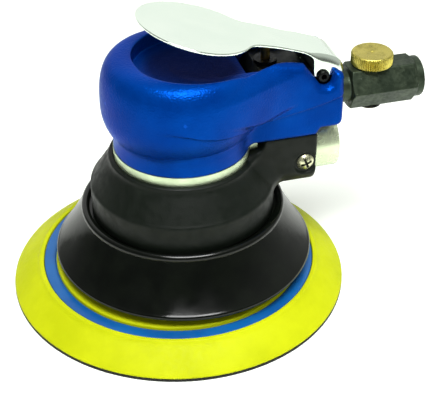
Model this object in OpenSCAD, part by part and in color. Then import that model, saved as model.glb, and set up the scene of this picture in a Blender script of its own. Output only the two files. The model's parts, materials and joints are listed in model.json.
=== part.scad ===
// Six inch random orbital air sander with dust extraction.
// Z is up and the sanding face lies on z = 0. The motor turns about the Z axis,
// the handle, the dust outlet and the air inlet all point along +X.

/* [Sanding pad] */
// Diameter of the pad
pad_d = 150; // [146:1:152]
// Thickness of the hook face
hook_t = 1.5; // [1:0.1:1.8]
// Height of the foam's raised lip above the sanding face
foam_top_z = 12; // [11.5:0.1:12.4]
// Diameter of the backing plate
plate_d = 122; // [120:0.5:123]
// Thickness of the backing plate
plate_t = 4.4; // [3.6:0.1:4.6]
// Diameter of the moulded core on top of the backing plate
core_d = 111; // [108:0.5:113]
// Diameter of the small orbit that the pad makes
orbit_d = 5; // [3:0.5:5]
// Number of dust holes through the pad
dust_holes = 6; // [5:1:8]
// Diameter of a dust hole
dust_hole_d = 10; // [8:0.5:11]
// Diameter of the circle that the dust holes lie on
dust_circle_d = 80; // [76:1:88]

/* [Shroud] */
// Outside diameter of the skirt at its lower edge
skirt_d = 114; // [113:0.5:116]
// Height of the skirt's lower edge
skirt_z = 17; // [16.6:0.2:18]
// Outside diameter of the skirt's rounded top rim
rim_d = 90; // [89:0.5:91]
// Height of the centre of the rounded rim
rim_z = 39.3; // [39:0.1:39.6]
// Wall thickness of the skirt
skirt_wall = 2.4; // [2:0.1:2.6]
// Outside diameter of the collar's upright band
collar_d = 80.4; // [80:0.2:81]
// Height where the collar's band turns into its sloping top
collar_shoulder_z = 52.4; // [52:0.2:53]
// Width of the arm that holds the dust outlet
arm_w = 30; // [29:0.5:31]
// Position of the arm's end face
arm_end_x = 57; // [56:0.5:58]

/* [Air motor] */
// Outside diameter of the housing's bare lower band
housing_d = 59; // [58.8:0.1:59.2]
// Diameter of the bore that holds the motor
bore_d = 47; // [46.6:0.1:47.2]
// Diameter of the rotor
rotor_d = 36.8; // [36:0.1:36.8]
// Bore of the motor cylinder
cylinder_bore_d = 40.4; // [40.4:0.1:40.8]
// Sideways offset of the cylinder's bore
cylinder_offset = 1.5; // [1.2:0.1:1.5]
// Number of vanes
vane_count = 5; // [4:1:6]

/* [Grip] */
// Outside diameter of the grip's straight waist
waist_d = 58.6; // [58.4:0.1:59]
// Widest diameter of the grip's head
bulge_d = 68; // [67.6:0.2:68.4]
// Height of the widest part of the head
bulge_z = 91; // [90:0.5:92]
// Height of the head's rounded crest
crest_z = 112; // [111.6:0.1:112.6]
// Diameter of the hollow under the paddle
pocket_d = 50; // [50:0.2:51]
// Width of the handle
handle_w = 33; // [32:0.5:34]
// Position of the handle's end face
handle_end_x = 67.7; // [67.5:0.1:68]

/* [Throttle] */
// Thickness of the lever's plate
lever_t = 1.5; // [1.4:0.1:1.8]
// Diameter of the round paddle
paddle_d = 48; // [46:0.5:48]
// Diameter of the lever's pin
pin_d = 5; // [4.6:0.1:5]
// Diameter of the valve stem
stem_d = 4; // [3.6:0.1:4]

/* [Air inlet] */
// Width across the flats of the hexagonal regulator body
hex_af = 18.1; // [17.5:0.1:18.5]
// Bore of the threaded air inlet, for a quarter inch pipe thread
inlet_bore_d = 11.1; // [10.8:0.1:11.4]
// Diameter of the regulator's knurled knob
knob_d = 18.3; // [17:0.1:19]
// Height of the knurled knob
knob_h = 5.5; // [4.5:0.1:6]
// Number of knurls round the knob
knurls = 56; // [40:2:64]

/* [Dust outlet] */
// Outside diameter of the outlet tube
tube_d = 25.4; // [25:0.1:25.6]
// Wall thickness of the outlet tube
tube_wall = 1.4; // [1:0.1:1.6]
// Position of the outlet tube's free end
tube_end_x = 68.5; // [67:0.5:70]

/* [Hidden] */
$fn = 96;

// Running clearance of a turning or sliding fit, on the radius
fit = 0.05;
// A cut runs this far past the face that it opens
past = 1;

// Pad
pad_r = pad_d / 2;
crank_throw = orbit_d / 2;
plate_top_z = 11.4;
plate_z = plate_top_z - plate_t;
core_z = 15.5;
hub_r = 11;
hub_top_z = 16.5;
hub_head_r = 8;
hub_head_t = 2;
stud_r = 3.97;
stud_top_z = 30;
washer_t = 0.5;

// Spindle and its double-row bearing
spindle_bearing_in_r = 5;
spindle_bearing_r = 15;
spindle_bearing_z = 29.5;
spindle_bearing_w = 14.3;
spindle_bearing_top_z = spindle_bearing_z + spindle_bearing_w;
spindle_z = hub_top_z + washer_t;
ring_t = 1.2;

// Crank
crank_r = 19;
crank_z = 26.5;
crank_top_z = 50;
weight_r = 34;
weight_z = 31;
weight_top_z = 46;
weight_angle = 55;
neck_shaft_r = 8;

// Motor stack, from the bottom up
housing_r = housing_d / 2;
bore_r = bore_d / 2;
housing_z = 54;
band_top_z = 70;
lock_ring_r = 25;
lower_plate_z = 59;
lower_bearing_in_r = 6;
lower_bearing_r = 14;
lower_bearing_w = 8;
cylinder_z = 69.5;
cylinder_top_z = 86;
rotor_r = rotor_d / 2;
rotor_gap = 0.2;
shaft_r = 5.5;
upper_bearing_in_r = 4;
upper_bearing_r = 11;
upper_bearing_w = 7;
upper_bearing_z = 87;
bore_top_z = 94;
housing_top_z = 97;
housing_top_r = 27.3;
slot_w = 1.8;
slot_floor_r = 9.4;
key_angle = 180 / vane_count;

// Handle
core_half_w = 11.3;
handle_z = 75;
handle_top_z = 103.5;
housing_end_x = 66;
ear_shelf_z = 94;
grip_z = 72.5;
slot_half_w = 11.6;
pocket_x = 5;
dish_z = 104;
slot_x = pocket_x + pocket_d / 2 + 0.6;
boss_half_w = 8.8;

// Throttle
pivot = [59, 99];
pin_r = pin_d / 2;
pin_half_l = 13;
ear_in = 9.2;
ear_r = 4.3;
paddle_x = 6.5;
lever_line = [[-17.5, 129.75], [6, 122.95], [34, 115.75], [50, 110.35], [61, 107.15], [67, 103.4], [69.4, 98.6]];
valve_x = 37;
stem_top_z = 113.4;
valve_bore_r = 5;
outlet_bore_r = 4;
plug_top_z = 77;
poppet_z = 84.5;
poppet_top_z = 87.5;
seal_t = 0.9;
seat_z = 88.5;
seat_top_z = 90.5;
guide_z = 96;
guide_top_z = 105;
guide_r = 4.2;
port_z = 91.5;

// Air inlet
inlet_z = 85.8;
nipple_r = 6.5;
nipple_x = 54;
neck_r = 7;
hex_x = 74.5;
hex_end_x = 104.5;
inlet_end_x = 108;
collar_inlet_r = 9;
inlet_thread_x = 94;
flow_r = 4;
knob_x = 85.7;
valve_stem_r = 4.5;
knob_z = 95.3;
stem_end_z = 74.6;
clip_z = 75.6;

// Dust outlet
tube_z = 61;
tube_r = tube_d / 2;
tube_seat_r = tube_r - 0.5;
tube_shoulder_x = arm_end_x + 0.4;
tube_x = 41;
duct_r = 10.5;
screw_x = 52;
screw_z = 58.7;
nozzle_x = 33.5;
nozzle_y = 8;
nozzle_r = 2.6;
nozzle_bore_r = 1.6;
nozzle_end_x = 46;

// ---------------------------------------------------------------- helpers

// Points of an arc in the plane
function arc(c, r, a0, a1, n = 8) =
    [for (i = [0:n]) let (a = a0 + (a1 - a0) * i / n) [c[0] + r * cos(a), c[1] + r * sin(a)]];

// A point of the smooth curve through the points p, at whole steps i plus the part t
function smooth_point(p, i, t) =
    let (
        last = len(p) - 1,
        a = p[max(i - 1, 0)],
        b = p[i],
        c = p[min(i + 1, last)],
        d = p[min(i + 2, last)]
    )
    0.5 * (2 * b + (c - a) * t + (2 * a - 5 * b + 4 * c - d) * t * t + (3 * b - a - 3 * c + d) * t * t * t);

function smooth(p, n) =
    concat([for (i = [0:len(p) - 2]) for (k = [0:n - 1]) smooth_point(p, i, k / n)], [p[len(p) - 1]]);

// Unit normal of the polyline p at its point i
function normal_at(p, i) =
    let (
        a = p[max(i - 1, 0)],
        b = p[min(i + 1, len(p) - 1)],
        d = (b - a) / norm(b - a)
    )
    [-d[1], d[0]];

// Closed outline of a strip of thickness t that follows the polyline p
function strip(p, t) =
    concat(
        [for (i = [0:len(p) - 1]) p[i] + normal_at(p, i) * t / 2],
        [for (i = [len(p) - 1:-1:0]) p[i] - normal_at(p, i) * t / 2]
    );

module ring(r_out, r_in, h) {
    difference() {
        cylinder(r = r_out, h = h);
        translate([0, 0, -past]) cylinder(r = r_in, h = h + 2 * past);
    }
}

// A cylinder along +X that starts at x and is l long
module rod_x(x, z, r, l, y = 0) {
    translate([x, y, z]) rotate([0, 90, 0]) cylinder(r = r, h = l);
}

// A side outline, drawn as x and z, made half_w wide to each side of y = 0
module side_plate(half_w) {
    translate([0, half_w, 0]) rotate([90, 0, 0]) linear_extrude(2 * half_w) children();
}

// A cross-section, drawn as y and z, swept along X from x0 to x1
module section_x(x0, x1) {
    translate([x0, 0, 0]) rotate([90, 0, 90]) linear_extrude(x1 - x0) children();
}

module torus(r, tube) {
    rotate_extrude() translate([r, 0]) circle(r = tube, $fn = 32);
}

// Places its children on the pad's own axis, which orbits round the motor's
module on_pad_axis() {
    translate([-crank_throw, 0, 0]) children();
}

// ---------------------------------------------------------------- bearings

function ball_r(r_in, r_out) = (r_out - r_in) * 0.27;

module outer_race(r_in, r_out, w, rows) {
    pitch = (r_in + r_out) / 2;
    b = ball_r(r_in, r_out);
    difference() {
        ring(r_out, pitch + b * 0.5, w);
        for (z = rows) translate([0, 0, z]) torus(pitch, b + fit);
    }
}

module inner_race(r_in, r_out, w, rows) {
    pitch = (r_in + r_out) / 2;
    b = ball_r(r_in, r_out);
    difference() {
        ring(pitch - b * 0.5, r_in, w);
        for (z = rows) translate([0, 0, z]) torus(pitch, b + fit);
    }
}

module balls(r_in, r_out, rows, count) {
    for (z = rows)
        for (i = [0:count - 1])
            rotate([0, 0, i * 360 / count])
                translate([(r_in + r_out) / 2, 0, z]) sphere(r = ball_r(r_in, r_out), $fn = 32);
}

// ---------------------------------------------------------------- pad

module dust_hole_cuts() {
    for (i = [0:dust_holes - 1])
        rotate([0, 0, (i + 0.5) * 360 / dust_holes])
            translate([dust_circle_d / 2, 0, -past]) cylinder(d = dust_hole_d, h = core_z + 3 * past);
}

module hook_face() {
    color("#1a1a1a") on_pad_axis() difference() {
        cylinder(r = pad_r, h = hook_t);
        dust_hole_cuts();
    }
}

module pad_foam() {
    lip_r = 1.4;
    color("#d9e512") on_pad_axis() difference() {
        rotate_extrude() polygon(concat(
            [[0, hook_t], [pad_r, hook_t], [pad_r - 0.4, hook_t + 1.4]],
            arc([plate_d / 2 + 1.9, foam_top_z - lip_r], lip_r, 45, 90, 4),
            arc([plate_d / 2 + 0.7, foam_top_z - 0.7], 0.7, 90, 180, 4),
            [[plate_d / 2, plate_z], [0, plate_z]]
        ));
        translate([0, 0, plate_z - hub_head_t]) cylinder(r = hub_head_r, h = hub_head_t + past);
        dust_hole_cuts();
    }
}

module backing_plate() {
    edge = 0.6;
    color("#0050b0") on_pad_axis() difference() {
        rotate_extrude() polygon([
            [stud_r, plate_z], [plate_d / 2, plate_z], [plate_d / 2, plate_top_z - edge],
            [plate_d / 2 - edge, plate_top_z], [stud_r, plate_top_z]
        ]);
        dust_hole_cuts();
    }
}

module pad_core() {
    r = core_d / 2;
    color("#d9e512") on_pad_axis() difference() {
        rotate_extrude() polygon(concat(
            [[hub_r, plate_top_z], [r, plate_top_z]],
            arc([r - 0.9, plate_top_z + 0.6], 0.9, 0, 80, 4),
            [[hub_r + 22, core_z], [hub_r, core_z]]
        ));
        dust_hole_cuts();
    }
}

module pad_hub() {
    color("#a8aaa6") on_pad_axis() {
        translate([0, 0, plate_top_z]) cylinder(r = hub_r, h = hub_top_z - plate_top_z);
        translate([0, 0, plate_z]) cylinder(r = stud_r, h = stud_top_z - plate_z);
        translate([0, 0, plate_z - hub_head_t]) cylinder(r = hub_head_r, h = hub_head_t);
    }
}

module pad_washer() {
    color("#6b4a35") on_pad_axis() translate([0, 0, hub_top_z]) ring(9, stud_r, washer_t);
}

// ---------------------------------------------------------------- spindle and crank

module spindle() {
    flange_r = 9;
    hex_r = 11;
    screw_r = 2.5;
    color("#9a9c98") on_pad_axis() difference() {
        union() {
            translate([0, 0, spindle_z]) cylinder(r = hex_r, h = 6, $fn = 6);
            translate([0, 0, spindle_z]) cylinder(r = flange_r, h = 9.4);
            translate([0, 0, spindle_z])
                cylinder(r = 7, h = spindle_bearing_z - spindle_z);
            translate([0, 0, spindle_bearing_z])
                cylinder(r = spindle_bearing_in_r, h = spindle_bearing_w);
        }
        translate([0, 0, spindle_z - past]) cylinder(r = stud_r, h = stud_top_z - spindle_z + past + 0.5);
        translate([0, 0, stud_top_z + 4]) cylinder(r = screw_r, h = 20);
    }
}

module spindle_screw() {
    shank_l = 8;
    color("#55585a") on_pad_axis() translate([0, 0, spindle_bearing_top_z]) difference() {
        union() {
            cylinder(r = 6.5, h = 1.2);
            cylinder(r = 4, h = 3);
            translate([0, 0, -shank_l]) cylinder(r = 2.5, h = shank_l);
        }
        translate([0, 0, 1.4]) cylinder(r = 1.6, h = 2 + past, $fn = 6);
    }
}

module spindle_retaining_ring() {
    color("#3c3f40") on_pad_axis()
        translate([0, 0, spindle_bearing_z - ring_t]) ring(spindle_bearing_r + 0.8, 12.2, ring_t);
}

module spindle_rows_bearing(part) {
    rows = [spindle_bearing_w / 2 - 3.4, spindle_bearing_w / 2 + 3.4];
    on_pad_axis() translate([0, 0, spindle_bearing_z]) {
        if (part == "outer") outer_race(spindle_bearing_in_r, spindle_bearing_r, spindle_bearing_w, rows);
        if (part == "inner") inner_race(spindle_bearing_in_r, spindle_bearing_r, spindle_bearing_w, rows);
        if (part == "balls") balls(spindle_bearing_in_r, spindle_bearing_r, rows, 9);
    }
}

module spindle_bearing_outer_race() {
    color("#b4b7b8") spindle_rows_bearing("outer");
}

module spindle_bearing_inner_race() {
    color("#b4b7b8") spindle_rows_bearing("inner");
}

module spindle_bearing_balls() {
    color("#d0d3d4") spindle_rows_bearing("balls");
}

module counterweight_outline() {
    polygon(concat([[0, 0]], arc([0, 0], weight_r, -weight_angle, weight_angle, 24)));
}

module crankshaft() {
    color("#7f8284") difference() {
        union() {
            on_pad_axis() translate([0, 0, crank_z]) cylinder(r = crank_r, h = crank_top_z - crank_z);
            translate([0, 0, weight_z]) linear_extrude(weight_top_z - weight_z) counterweight_outline();
            translate([0, 0, crank_top_z]) cylinder(r = neck_shaft_r, h = lower_plate_z - crank_top_z);
            translate([0, 0, lower_plate_z]) cylinder(r = lower_bearing_in_r, h = lower_bearing_w);
            translate([0, 0, lower_plate_z + lower_bearing_w])
                cylinder(r = shaft_r, h = cylinder_top_z - lower_plate_z - lower_bearing_w);
            translate([0, 0, cylinder_top_z])
                cylinder(r = upper_bearing_in_r, h = bore_top_z - cylinder_top_z - 0.5);
        }
        on_pad_axis() {
            translate([0, 0, crank_z - past])
                cylinder(r = spindle_bearing_r, h = spindle_bearing_top_z - crank_z + past);
            translate([0, 0, spindle_bearing_z - ring_t])
                cylinder(r = spindle_bearing_r + 0.8, h = ring_t);
            translate([0, 0, spindle_bearing_top_z - past]) cylinder(r = 12.5, h = 3.6 + past);
        }
        rotate([0, 0, key_angle]) translate([shaft_r - 1.5, -1, 72.5]) cube([4, 2, 10]);
    }
}

// ---------------------------------------------------------------- air motor

module lower_bearing(part) {
    rows = [lower_bearing_w / 2];
    translate([0, 0, lower_plate_z]) {
        if (part == "outer") outer_race(lower_bearing_in_r, lower_bearing_r, lower_bearing_w, rows);
        if (part == "inner") inner_race(lower_bearing_in_r, lower_bearing_r, lower_bearing_w, rows);
        if (part == "balls") balls(lower_bearing_in_r, lower_bearing_r, rows, 8);
    }
}

module upper_bearing(part) {
    rows = [upper_bearing_w / 2];
    translate([0, 0, upper_bearing_z]) {
        if (part == "outer") outer_race(upper_bearing_in_r, upper_bearing_r, upper_bearing_w, rows);
        if (part == "inner") inner_race(upper_bearing_in_r, upper_bearing_r, upper_bearing_w, rows);
        if (part == "balls") balls(upper_bearing_in_r, upper_bearing_r, rows, 7);
    }
}

module lower_bearing_outer_race() {
    color("#b4b7b8") lower_bearing("outer");
}

module lower_bearing_inner_race() {
    color("#b4b7b8") lower_bearing("inner");
}

module lower_bearing_balls() {
    color("#d0d3d4") lower_bearing("balls");
}

module upper_bearing_outer_race() {
    color("#b4b7b8") upper_bearing("outer");
}

module upper_bearing_inner_race() {
    color("#b4b7b8") upper_bearing("inner");
}

module upper_bearing_balls() {
    color("#d0d3d4") upper_bearing("balls");
}

module lock_ring() {
    spanner_hole_r = 1.6;
    color("#8d9093") difference() {
        translate([0, 0, housing_z]) ring(lock_ring_r, 15, lower_plate_z - housing_z);
        for (i = [0:3])
            rotate([0, 0, 45 + i * 90])
                translate([20, 0, housing_z - past]) cylinder(r = spanner_hole_r, h = 3 + past);
    }
}

module lower_endplate() {
    color("#9fa2a4") difference() {
        translate([0, 0, lower_plate_z]) cylinder(r = bore_r, h = cylinder_z - lower_plate_z);
        translate([0, 0, lower_plate_z - past]) cylinder(r = lower_bearing_r, h = lower_bearing_w + past);
        translate([0, 0, lower_plate_z]) cylinder(r = shaft_r + 0.6, h = cylinder_z);
    }
}

module upper_endplate() {
    inlet_x = 20;
    color("#9fa2a4") difference() {
        translate([0, 0, cylinder_top_z]) cylinder(r = bore_r, h = bore_top_z - cylinder_top_z);
        translate([0, 0, upper_bearing_z]) cylinder(r = upper_bearing_r, h = upper_bearing_w + past);
        translate([0, 0, cylinder_top_z - past]) cylinder(r = upper_bearing_in_r + 0.6, h = 5);
        rod_x(inlet_x - 2, port_z, 2, 10);
        translate([inlet_x, 0, cylinder_top_z - past]) cylinder(r = 1.4, h = port_z - cylinder_top_z + past);
        alignment_pin_shape();
    }
}

module motor_cylinder() {
    color("#868a8d") difference() {
        translate([0, 0, cylinder_z]) cylinder(r = bore_r, h = cylinder_top_z - cylinder_z);
        translate([cylinder_offset, 0, cylinder_z - past])
            cylinder(d = cylinder_bore_d, h = cylinder_top_z - cylinder_z + 2 * past);
        for (z = [75.5, 80.5]) rod_x(10, z, 2, 20, nozzle_y);
        alignment_pin_shape();
    }
}

module alignment_pin_shape() {
    translate([-21.4, 0, cylinder_top_z - 4]) cylinder(r = 1.2, h = 6);
}

module alignment_pin() {
    color("#c0c2c2") alignment_pin_shape();
}

module rotor() {
    h = cylinder_top_z - cylinder_z - 2 * rotor_gap;
    color("#77797b") translate([0, 0, cylinder_z + rotor_gap]) difference() {
        ring(rotor_r, shaft_r, h);
        for (i = [0:vane_count - 1])
            rotate([0, 0, i * 360 / vane_count])
                translate([slot_floor_r, -slot_w / 2, -past]) cube([rotor_r, slot_w, h + 2 * past]);
        rotate([0, 0, key_angle]) translate([0, -1, -past]) cube([shaft_r + 1.5, 2, h + 2 * past]);
    }
}

module vanes() {
    h = cylinder_top_z - cylinder_z - 2 * rotor_gap - 0.2;
    color("#5a3a22")
        for (i = [0:vane_count - 1])
            rotate([0, 0, i * 360 / vane_count])
                translate([slot_floor_r + 0.2, -0.8, cylinder_z + rotor_gap + 0.1])
                    cube([rotor_r - slot_floor_r - 0.4, 1.6, h]);
}

module rotor_key() {
    color("#55585a") rotate([0, 0, key_angle]) translate([shaft_r - 1.5, -1, 72.5]) cube([2.9, 2, 10]);
}

// ---------------------------------------------------------------- housing

// Side outline of the housing's handle, with the pivot boss left out
module handle_core_outline() {
    polygon([
        [0, handle_z], [housing_end_x, handle_z], [housing_end_x, ear_shelf_z],
        [54, ear_shelf_z], [51, handle_top_z], [32, handle_top_z], [27, housing_top_z], [0, housing_top_z]
    ]);
}

module housing_shape() {
    translate([0, 0, housing_z]) cylinder(r = housing_r, h = band_top_z - housing_z);
    translate([0, 0, band_top_z - past]) cylinder(r = housing_top_r, h = housing_top_z - band_top_z + past);
    side_plate(core_half_w) handle_core_outline();
    side_plate(core_half_w)
        polygon([[18, band_top_z - 3], [30.6, band_top_z - 3], [30.6, handle_z + past], [18, handle_z + past]]);
    side_plate(boss_half_w) polygon(concat(
        [[50, handle_z + 10], [65.5, handle_z + 10], [65.5, ear_shelf_z + 1]],
        arc(pivot, 4.2, -10, 150, 8),
        [[50, pivot[1] + 3]]
    ));
}

module valve_bores() {
    translate([valve_x, 0, handle_z - past])
        cylinder(r = valve_bore_r, h = seat_top_z - handle_z + past);
    translate([valve_x, 0, seat_top_z - past]) cylinder(r = outlet_bore_r, h = guide_z - seat_top_z + past);
    translate([valve_x, 0, guide_z - past]) cylinder(r = guide_r, h = handle_top_z - guide_z + 2 * past);
}

module motor_housing() {
    color("#c9d2c4") difference() {
        housing_shape();
        translate([0, 0, lower_plate_z - past]) cylinder(r = bore_r, h = bore_top_z - lower_plate_z + past);
        translate([0, 0, housing_z - past]) cylinder(r = lock_ring_r, h = lower_plate_z - housing_z + past);
        valve_bores();
        rod_x(bore_r - 2, port_z, 2.2, valve_x - bore_r);
        rod_x(nipple_x - 4, inlet_z, nipple_r, 20);
        rod_x(valve_x, 82.2, 2.8, 15);
        rod_x(bore_r - 3, 78, 2, 12, nozzle_y);
        translate([nozzle_x, nozzle_y, handle_z - past]) cylinder(r = 2, h = 4);
        translate([pivot[0], 0, pivot[1]]) rotate([90, 0, 0]) cylinder(r = pin_r, h = 40, center = true);
    }
}

module lever_pin() {
    color("#1c1c1c") translate([pivot[0], 0, pivot[1]]) rotate([90, 0, 0])
        cylinder(r = pin_r, h = 2 * pin_half_l, center = true);
}

// ---------------------------------------------------------------- grip

module head_profile() {
    r = bulge_d / 2;
    low_r = 23;
    low_angle = 37.3;
    top_r = 22;
    fullness = 3;
    polygon(concat(
        [[0, band_top_z], [waist_d / 2, band_top_z]],
        arc([r - low_r, bulge_z], low_r, -low_angle, 0, 8),
        [for (i = [1:12]) let (a = i * 90 / 12) [
            top_r + (r - top_r) * pow(cos(a), 2 / fullness),
            bulge_z + (crest_z - bulge_z) * pow(sin(a), 2 / fullness)
        ]],
        [[0, crest_z]]
    ));
}

// Side outline of the handle, for the side towards -Y where the lever's pin shows
module near_side_outline() {
    polygon(concat(
        [[0, grip_z], [56, grip_z], [58, grip_z + 3]],
        arc([handle_end_x - 3, grip_z + 6], 3, -90, 0, 4),
        arc([handle_end_x - 3, 98.3], 3, 0, 110, 5),
        arc([59.5, 98.6], 3.4, -40, -140, 4),
        [[48, 107], [35, 109.2], [20, 112]],
        [[0, 112]]
    ));
}

// The far side hides the end of the pin behind a low hump
module far_side_outline() {
    polygon(concat(
        [[0, grip_z], [56, grip_z], [58, grip_z + 3]],
        arc([handle_end_x - 3, grip_z + 6], 3, -90, 0, 4),
        arc([62.5, 99.2], 5.2, 0, 140, 6),
        [[54, 103.8], [48, 107], [35, 109.2], [20, 112]],
        [[0, 112]]
    ));
}

module handle_section() {
    w = handle_w / 2;
    top_r = 6;
    polygon(concat(
        arc([w - 3.5, grip_z + 2], 2, -90, -20, 4),
        arc([w - top_r, 114 - top_r], top_r, 0, 90, 6),
        arc([-w + top_r, 114 - top_r], top_r, 90, 180, 6),
        arc([-w + 3.5, grip_z + 2], 2, 200, 270, 4)
    ));
}

module handle_shape() {
    intersection() {
        section_x(0, handle_end_x) handle_section();
        union() {
            translate([0, -handle_w, 0]) rotate([90, 0, 0]) mirror([0, 0, 1])
                linear_extrude(handle_w) near_side_outline();
            rotate([90, 0, 0]) mirror([0, 0, 1]) linear_extrude(handle_w) far_side_outline();
        }
    }
}

// A round dish with a bowl-shaped floor, drawn out into the slot for the lever's neck
module pocket_shape() {
    bowl_r = 70;
    bowl_x = 10;
    flare_z = 106;
    intersection() {
        translate([pocket_x, 0, dish_z - 1]) cylinder(d = pocket_d, h = 30);
        translate([bowl_x, 0, dish_z + bowl_r]) sphere(r = bowl_r);
    }
    translate([0, 0, flare_z]) linear_extrude(20) polygon([
        [12, -22], [24, -16.6], [30, -13.4], [38, -slot_half_w], [38, slot_half_w], [30, 13.4], [24, 16.6], [12, 22]
    ]);
}

module grip_cover() {
    color("#0a3fd0") difference() {
        union() {
            rotate_extrude() head_profile();
            handle_shape();
        }
        housing_shape();
        translate([0, 0, band_top_z - 5]) cylinder(r = housing_top_r, h = housing_top_z - band_top_z + 5);
        translate([0, 0, band_top_z - 10]) cylinder(r = 31, h = 10);
        pocket_shape();
        side_plate(slot_half_w)
            polygon([[18, dish_z], [slot_x, handle_top_z - 1], [slot_x, ear_shelf_z], [80, ear_shelf_z],
                [80, 130], [18, 130]]);
        arm_shape();
        rod_x(arm_end_x - past, tube_z, tube_r + 1.2, 20);
        rod_x(housing_end_x - past, inlet_z, neck_r + 0.3, 10);
        translate([nozzle_x, nozzle_y, grip_z - past]) cylinder(r = nozzle_r, h = 10);
        translate([pivot[0], 0, pivot[1]]) rotate([90, 0, 0])
            cylinder(r = pin_r, h = 2 * pin_half_l, center = true);
    }
}

// ---------------------------------------------------------------- throttle

module lever_plan() {
    translate([paddle_x, 0]) circle(d = paddle_d);
    polygon([
        [20, -17.6], [22.8, -13.3], [27, -11.3], [34, -10.8], [42, -10.1], [50, -9.9], [55, -11.2], [66, -11.2],
        [71, -8], [71, 8], [66, 11.2], [55, 11.2], [50, 9.9], [42, 10.1], [34, 10.8], [27, 11.3], [22.8, 13.3],
        [20, 17.6]
    ]);
}

module throttle_lever() {
    line = smooth(lever_line, 5);
    color("#dfe8dc") difference() {
        union() {
            intersection() {
                side_plate(paddle_d) polygon(strip(line, lever_t));
                translate([0, 0, 80]) linear_extrude(60) lever_plan();
            }
            for (side = [-1, 1])
                translate([0, side * (ear_in + 1), 0]) side_plate(1) polygon(concat(
                    [[54.6, 108.6]],
                    arc(pivot, ear_r, 200, 300, 8),
                    [[68.6, 99.4], [67.2, 102.2], [65.6, 104.4], [61, 107]]
                ));
        }
        translate([pivot[0], 0, pivot[1]]) rotate([90, 0, 0])
            cylinder(r = pin_r + fit, h = 40, center = true);
    }
}

module valve_stem() {
    tip = 1.2;
    color("#c9a24a") translate([valve_x, 0, 0]) {
        translate([0, 0, poppet_top_z]) cylinder(d = stem_d, h = stem_top_z - tip - poppet_top_z);
        translate([0, 0, stem_top_z - tip]) cylinder(d1 = stem_d, d2 = stem_d - 1.6, h = tip);
        translate([0, 0, poppet_z]) cylinder(r = 4.2, h = poppet_top_z - poppet_z);
    }
}

module valve_seal() {
    color("#202020") translate([valve_x, 0, poppet_top_z]) ring(4.1, stem_d / 2, seal_t);
}

module valve_seat() {
    color("#c9a24a") translate([valve_x, 0, seat_z]) ring(valve_bore_r, 3, seat_top_z - seat_z);
}

module valve_guide() {
    color("#c9a24a") translate([valve_x, 0, guide_z]) difference() {
        union() {
            cylinder(r = guide_r, h = handle_top_z - guide_z);
            translate([0, 0, handle_top_z - guide_z]) cylinder(r = 5, h = guide_top_z - handle_top_z);
        }
        translate([0, 0, -past]) cylinder(r = stem_d / 2 + fit, h = 20);
        translate([0, 0, 3]) ring(stem_d / 2 + 1.2, stem_d / 2, 1.5);
    }
}

module stem_oring() {
    tube = 0.55;
    color("#202020") translate([valve_x, 0, guide_z + 3.75]) torus(stem_d / 2 + tube + 0.03, tube);
}

module valve_spring() {
    turns = 4;
    steps = 16;
    wire_r = 0.35;
    coil_r = 3.6;
    sides = 8;
    rise = (poppet_z - plug_top_z - 2 * wire_r - 0.02) / (turns * steps);
    count = turns * steps;
    points = [
        for (i = [0:count]) for (k = [0:sides - 1])
            let (a = i * 360 / steps, b = k * 360 / sides, r = coil_r + wire_r * cos(b))
            [valve_x + r * cos(a), r * sin(a), plug_top_z + wire_r + 0.01 + i * rise + wire_r * sin(b)]
    ];
    walls = [
        for (i = [0:count - 1]) for (k = [0:sides - 1])
            let (n = (k + 1) % sides)
            [i * sides + k, (i + 1) * sides + k, (i + 1) * sides + n, i * sides + n]
    ];
    start = [for (k = [0:sides - 1]) k];
    end = [for (k = [sides - 1:-1:0]) count * sides + k];
    color("#b0b4b4") polyhedron(points = points, faces = concat(walls, [start, end]));
}

module valve_plug() {
    color("#c9a24a") translate([valve_x, 0, handle_z]) difference() {
        cylinder(r = valve_bore_r, h = plug_top_z - handle_z);
        translate([-3, -0.5, -past]) cube([6, 1, 0.8 + past]);
    }
}

// ---------------------------------------------------------------- air inlet

module hex_blank() {
    chamfer = 1;
    corner_r = hex_af / sqrt(3);
    l = hex_end_x - hex_x;
    intersection() {
        rotate([0, 0, 30]) cylinder(r = corner_r, h = l, $fn = 6);
        rotate_extrude() polygon([
            [0, 0], [corner_r - chamfer, 0], [corner_r, chamfer * 0.6], [corner_r, l - chamfer * 0.6],
            [corner_r - chamfer, l], [0, l]
        ]);
    }
}

module regulator_body() {
    color("#4a5348") difference() {
        union() {
            translate([hex_x, 0, inlet_z]) rotate([0, 90, 0]) hex_blank();
            rod_x(nipple_x, inlet_z, nipple_r, hex_x - nipple_x);
            rod_x(housing_end_x, inlet_z, neck_r, hex_x - housing_end_x);
            rod_x(hex_end_x, inlet_z, collar_inlet_r, inlet_end_x - hex_end_x);
        }
        rod_x(nipple_x - past, inlet_z, flow_r, 50);
        rod_x(inlet_thread_x, inlet_z, inlet_bore_d / 2, 20);
        rod_x(inlet_thread_x - 2, inlet_z, 5, 3);
        translate([knob_x, 0, inlet_z - 15]) cylinder(r = valve_stem_r + fit, h = 30);
        translate([housing_end_x - 3, 0, inlet_z]) rotate([0, 90, 0])
            ring(nipple_r + past, nipple_r - 1.2, 1.4);
    }
}

module inlet_oring() {
    color("#202020") translate([housing_end_x - 2.3, 0, inlet_z]) rotate([0, 90, 0])
        torus(nipple_r - 0.6, 0.58);
}

module inlet_screen() {
    color("#b9995a") translate([inlet_thread_x - 2, 0, inlet_z]) rotate([0, 90, 0]) difference() {
        cylinder(r = 5, h = 1.5);
        translate([0, 0, -past]) cylinder(r = 0.9, h = 4);
        for (i = [0:5])
            rotate([0, 0, i * 60]) translate([2.9, 0, -past]) cylinder(r = 0.9, h = 4);
    }
}

module knurled_outline() {
    depth = 0.35;
    polygon([
        for (i = [0:2 * knurls - 1])
            let (a = i * 180 / knurls, r = knob_d / 2 - (i % 2) * depth) [r * cos(a), r * sin(a)]
    ]);
}

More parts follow.
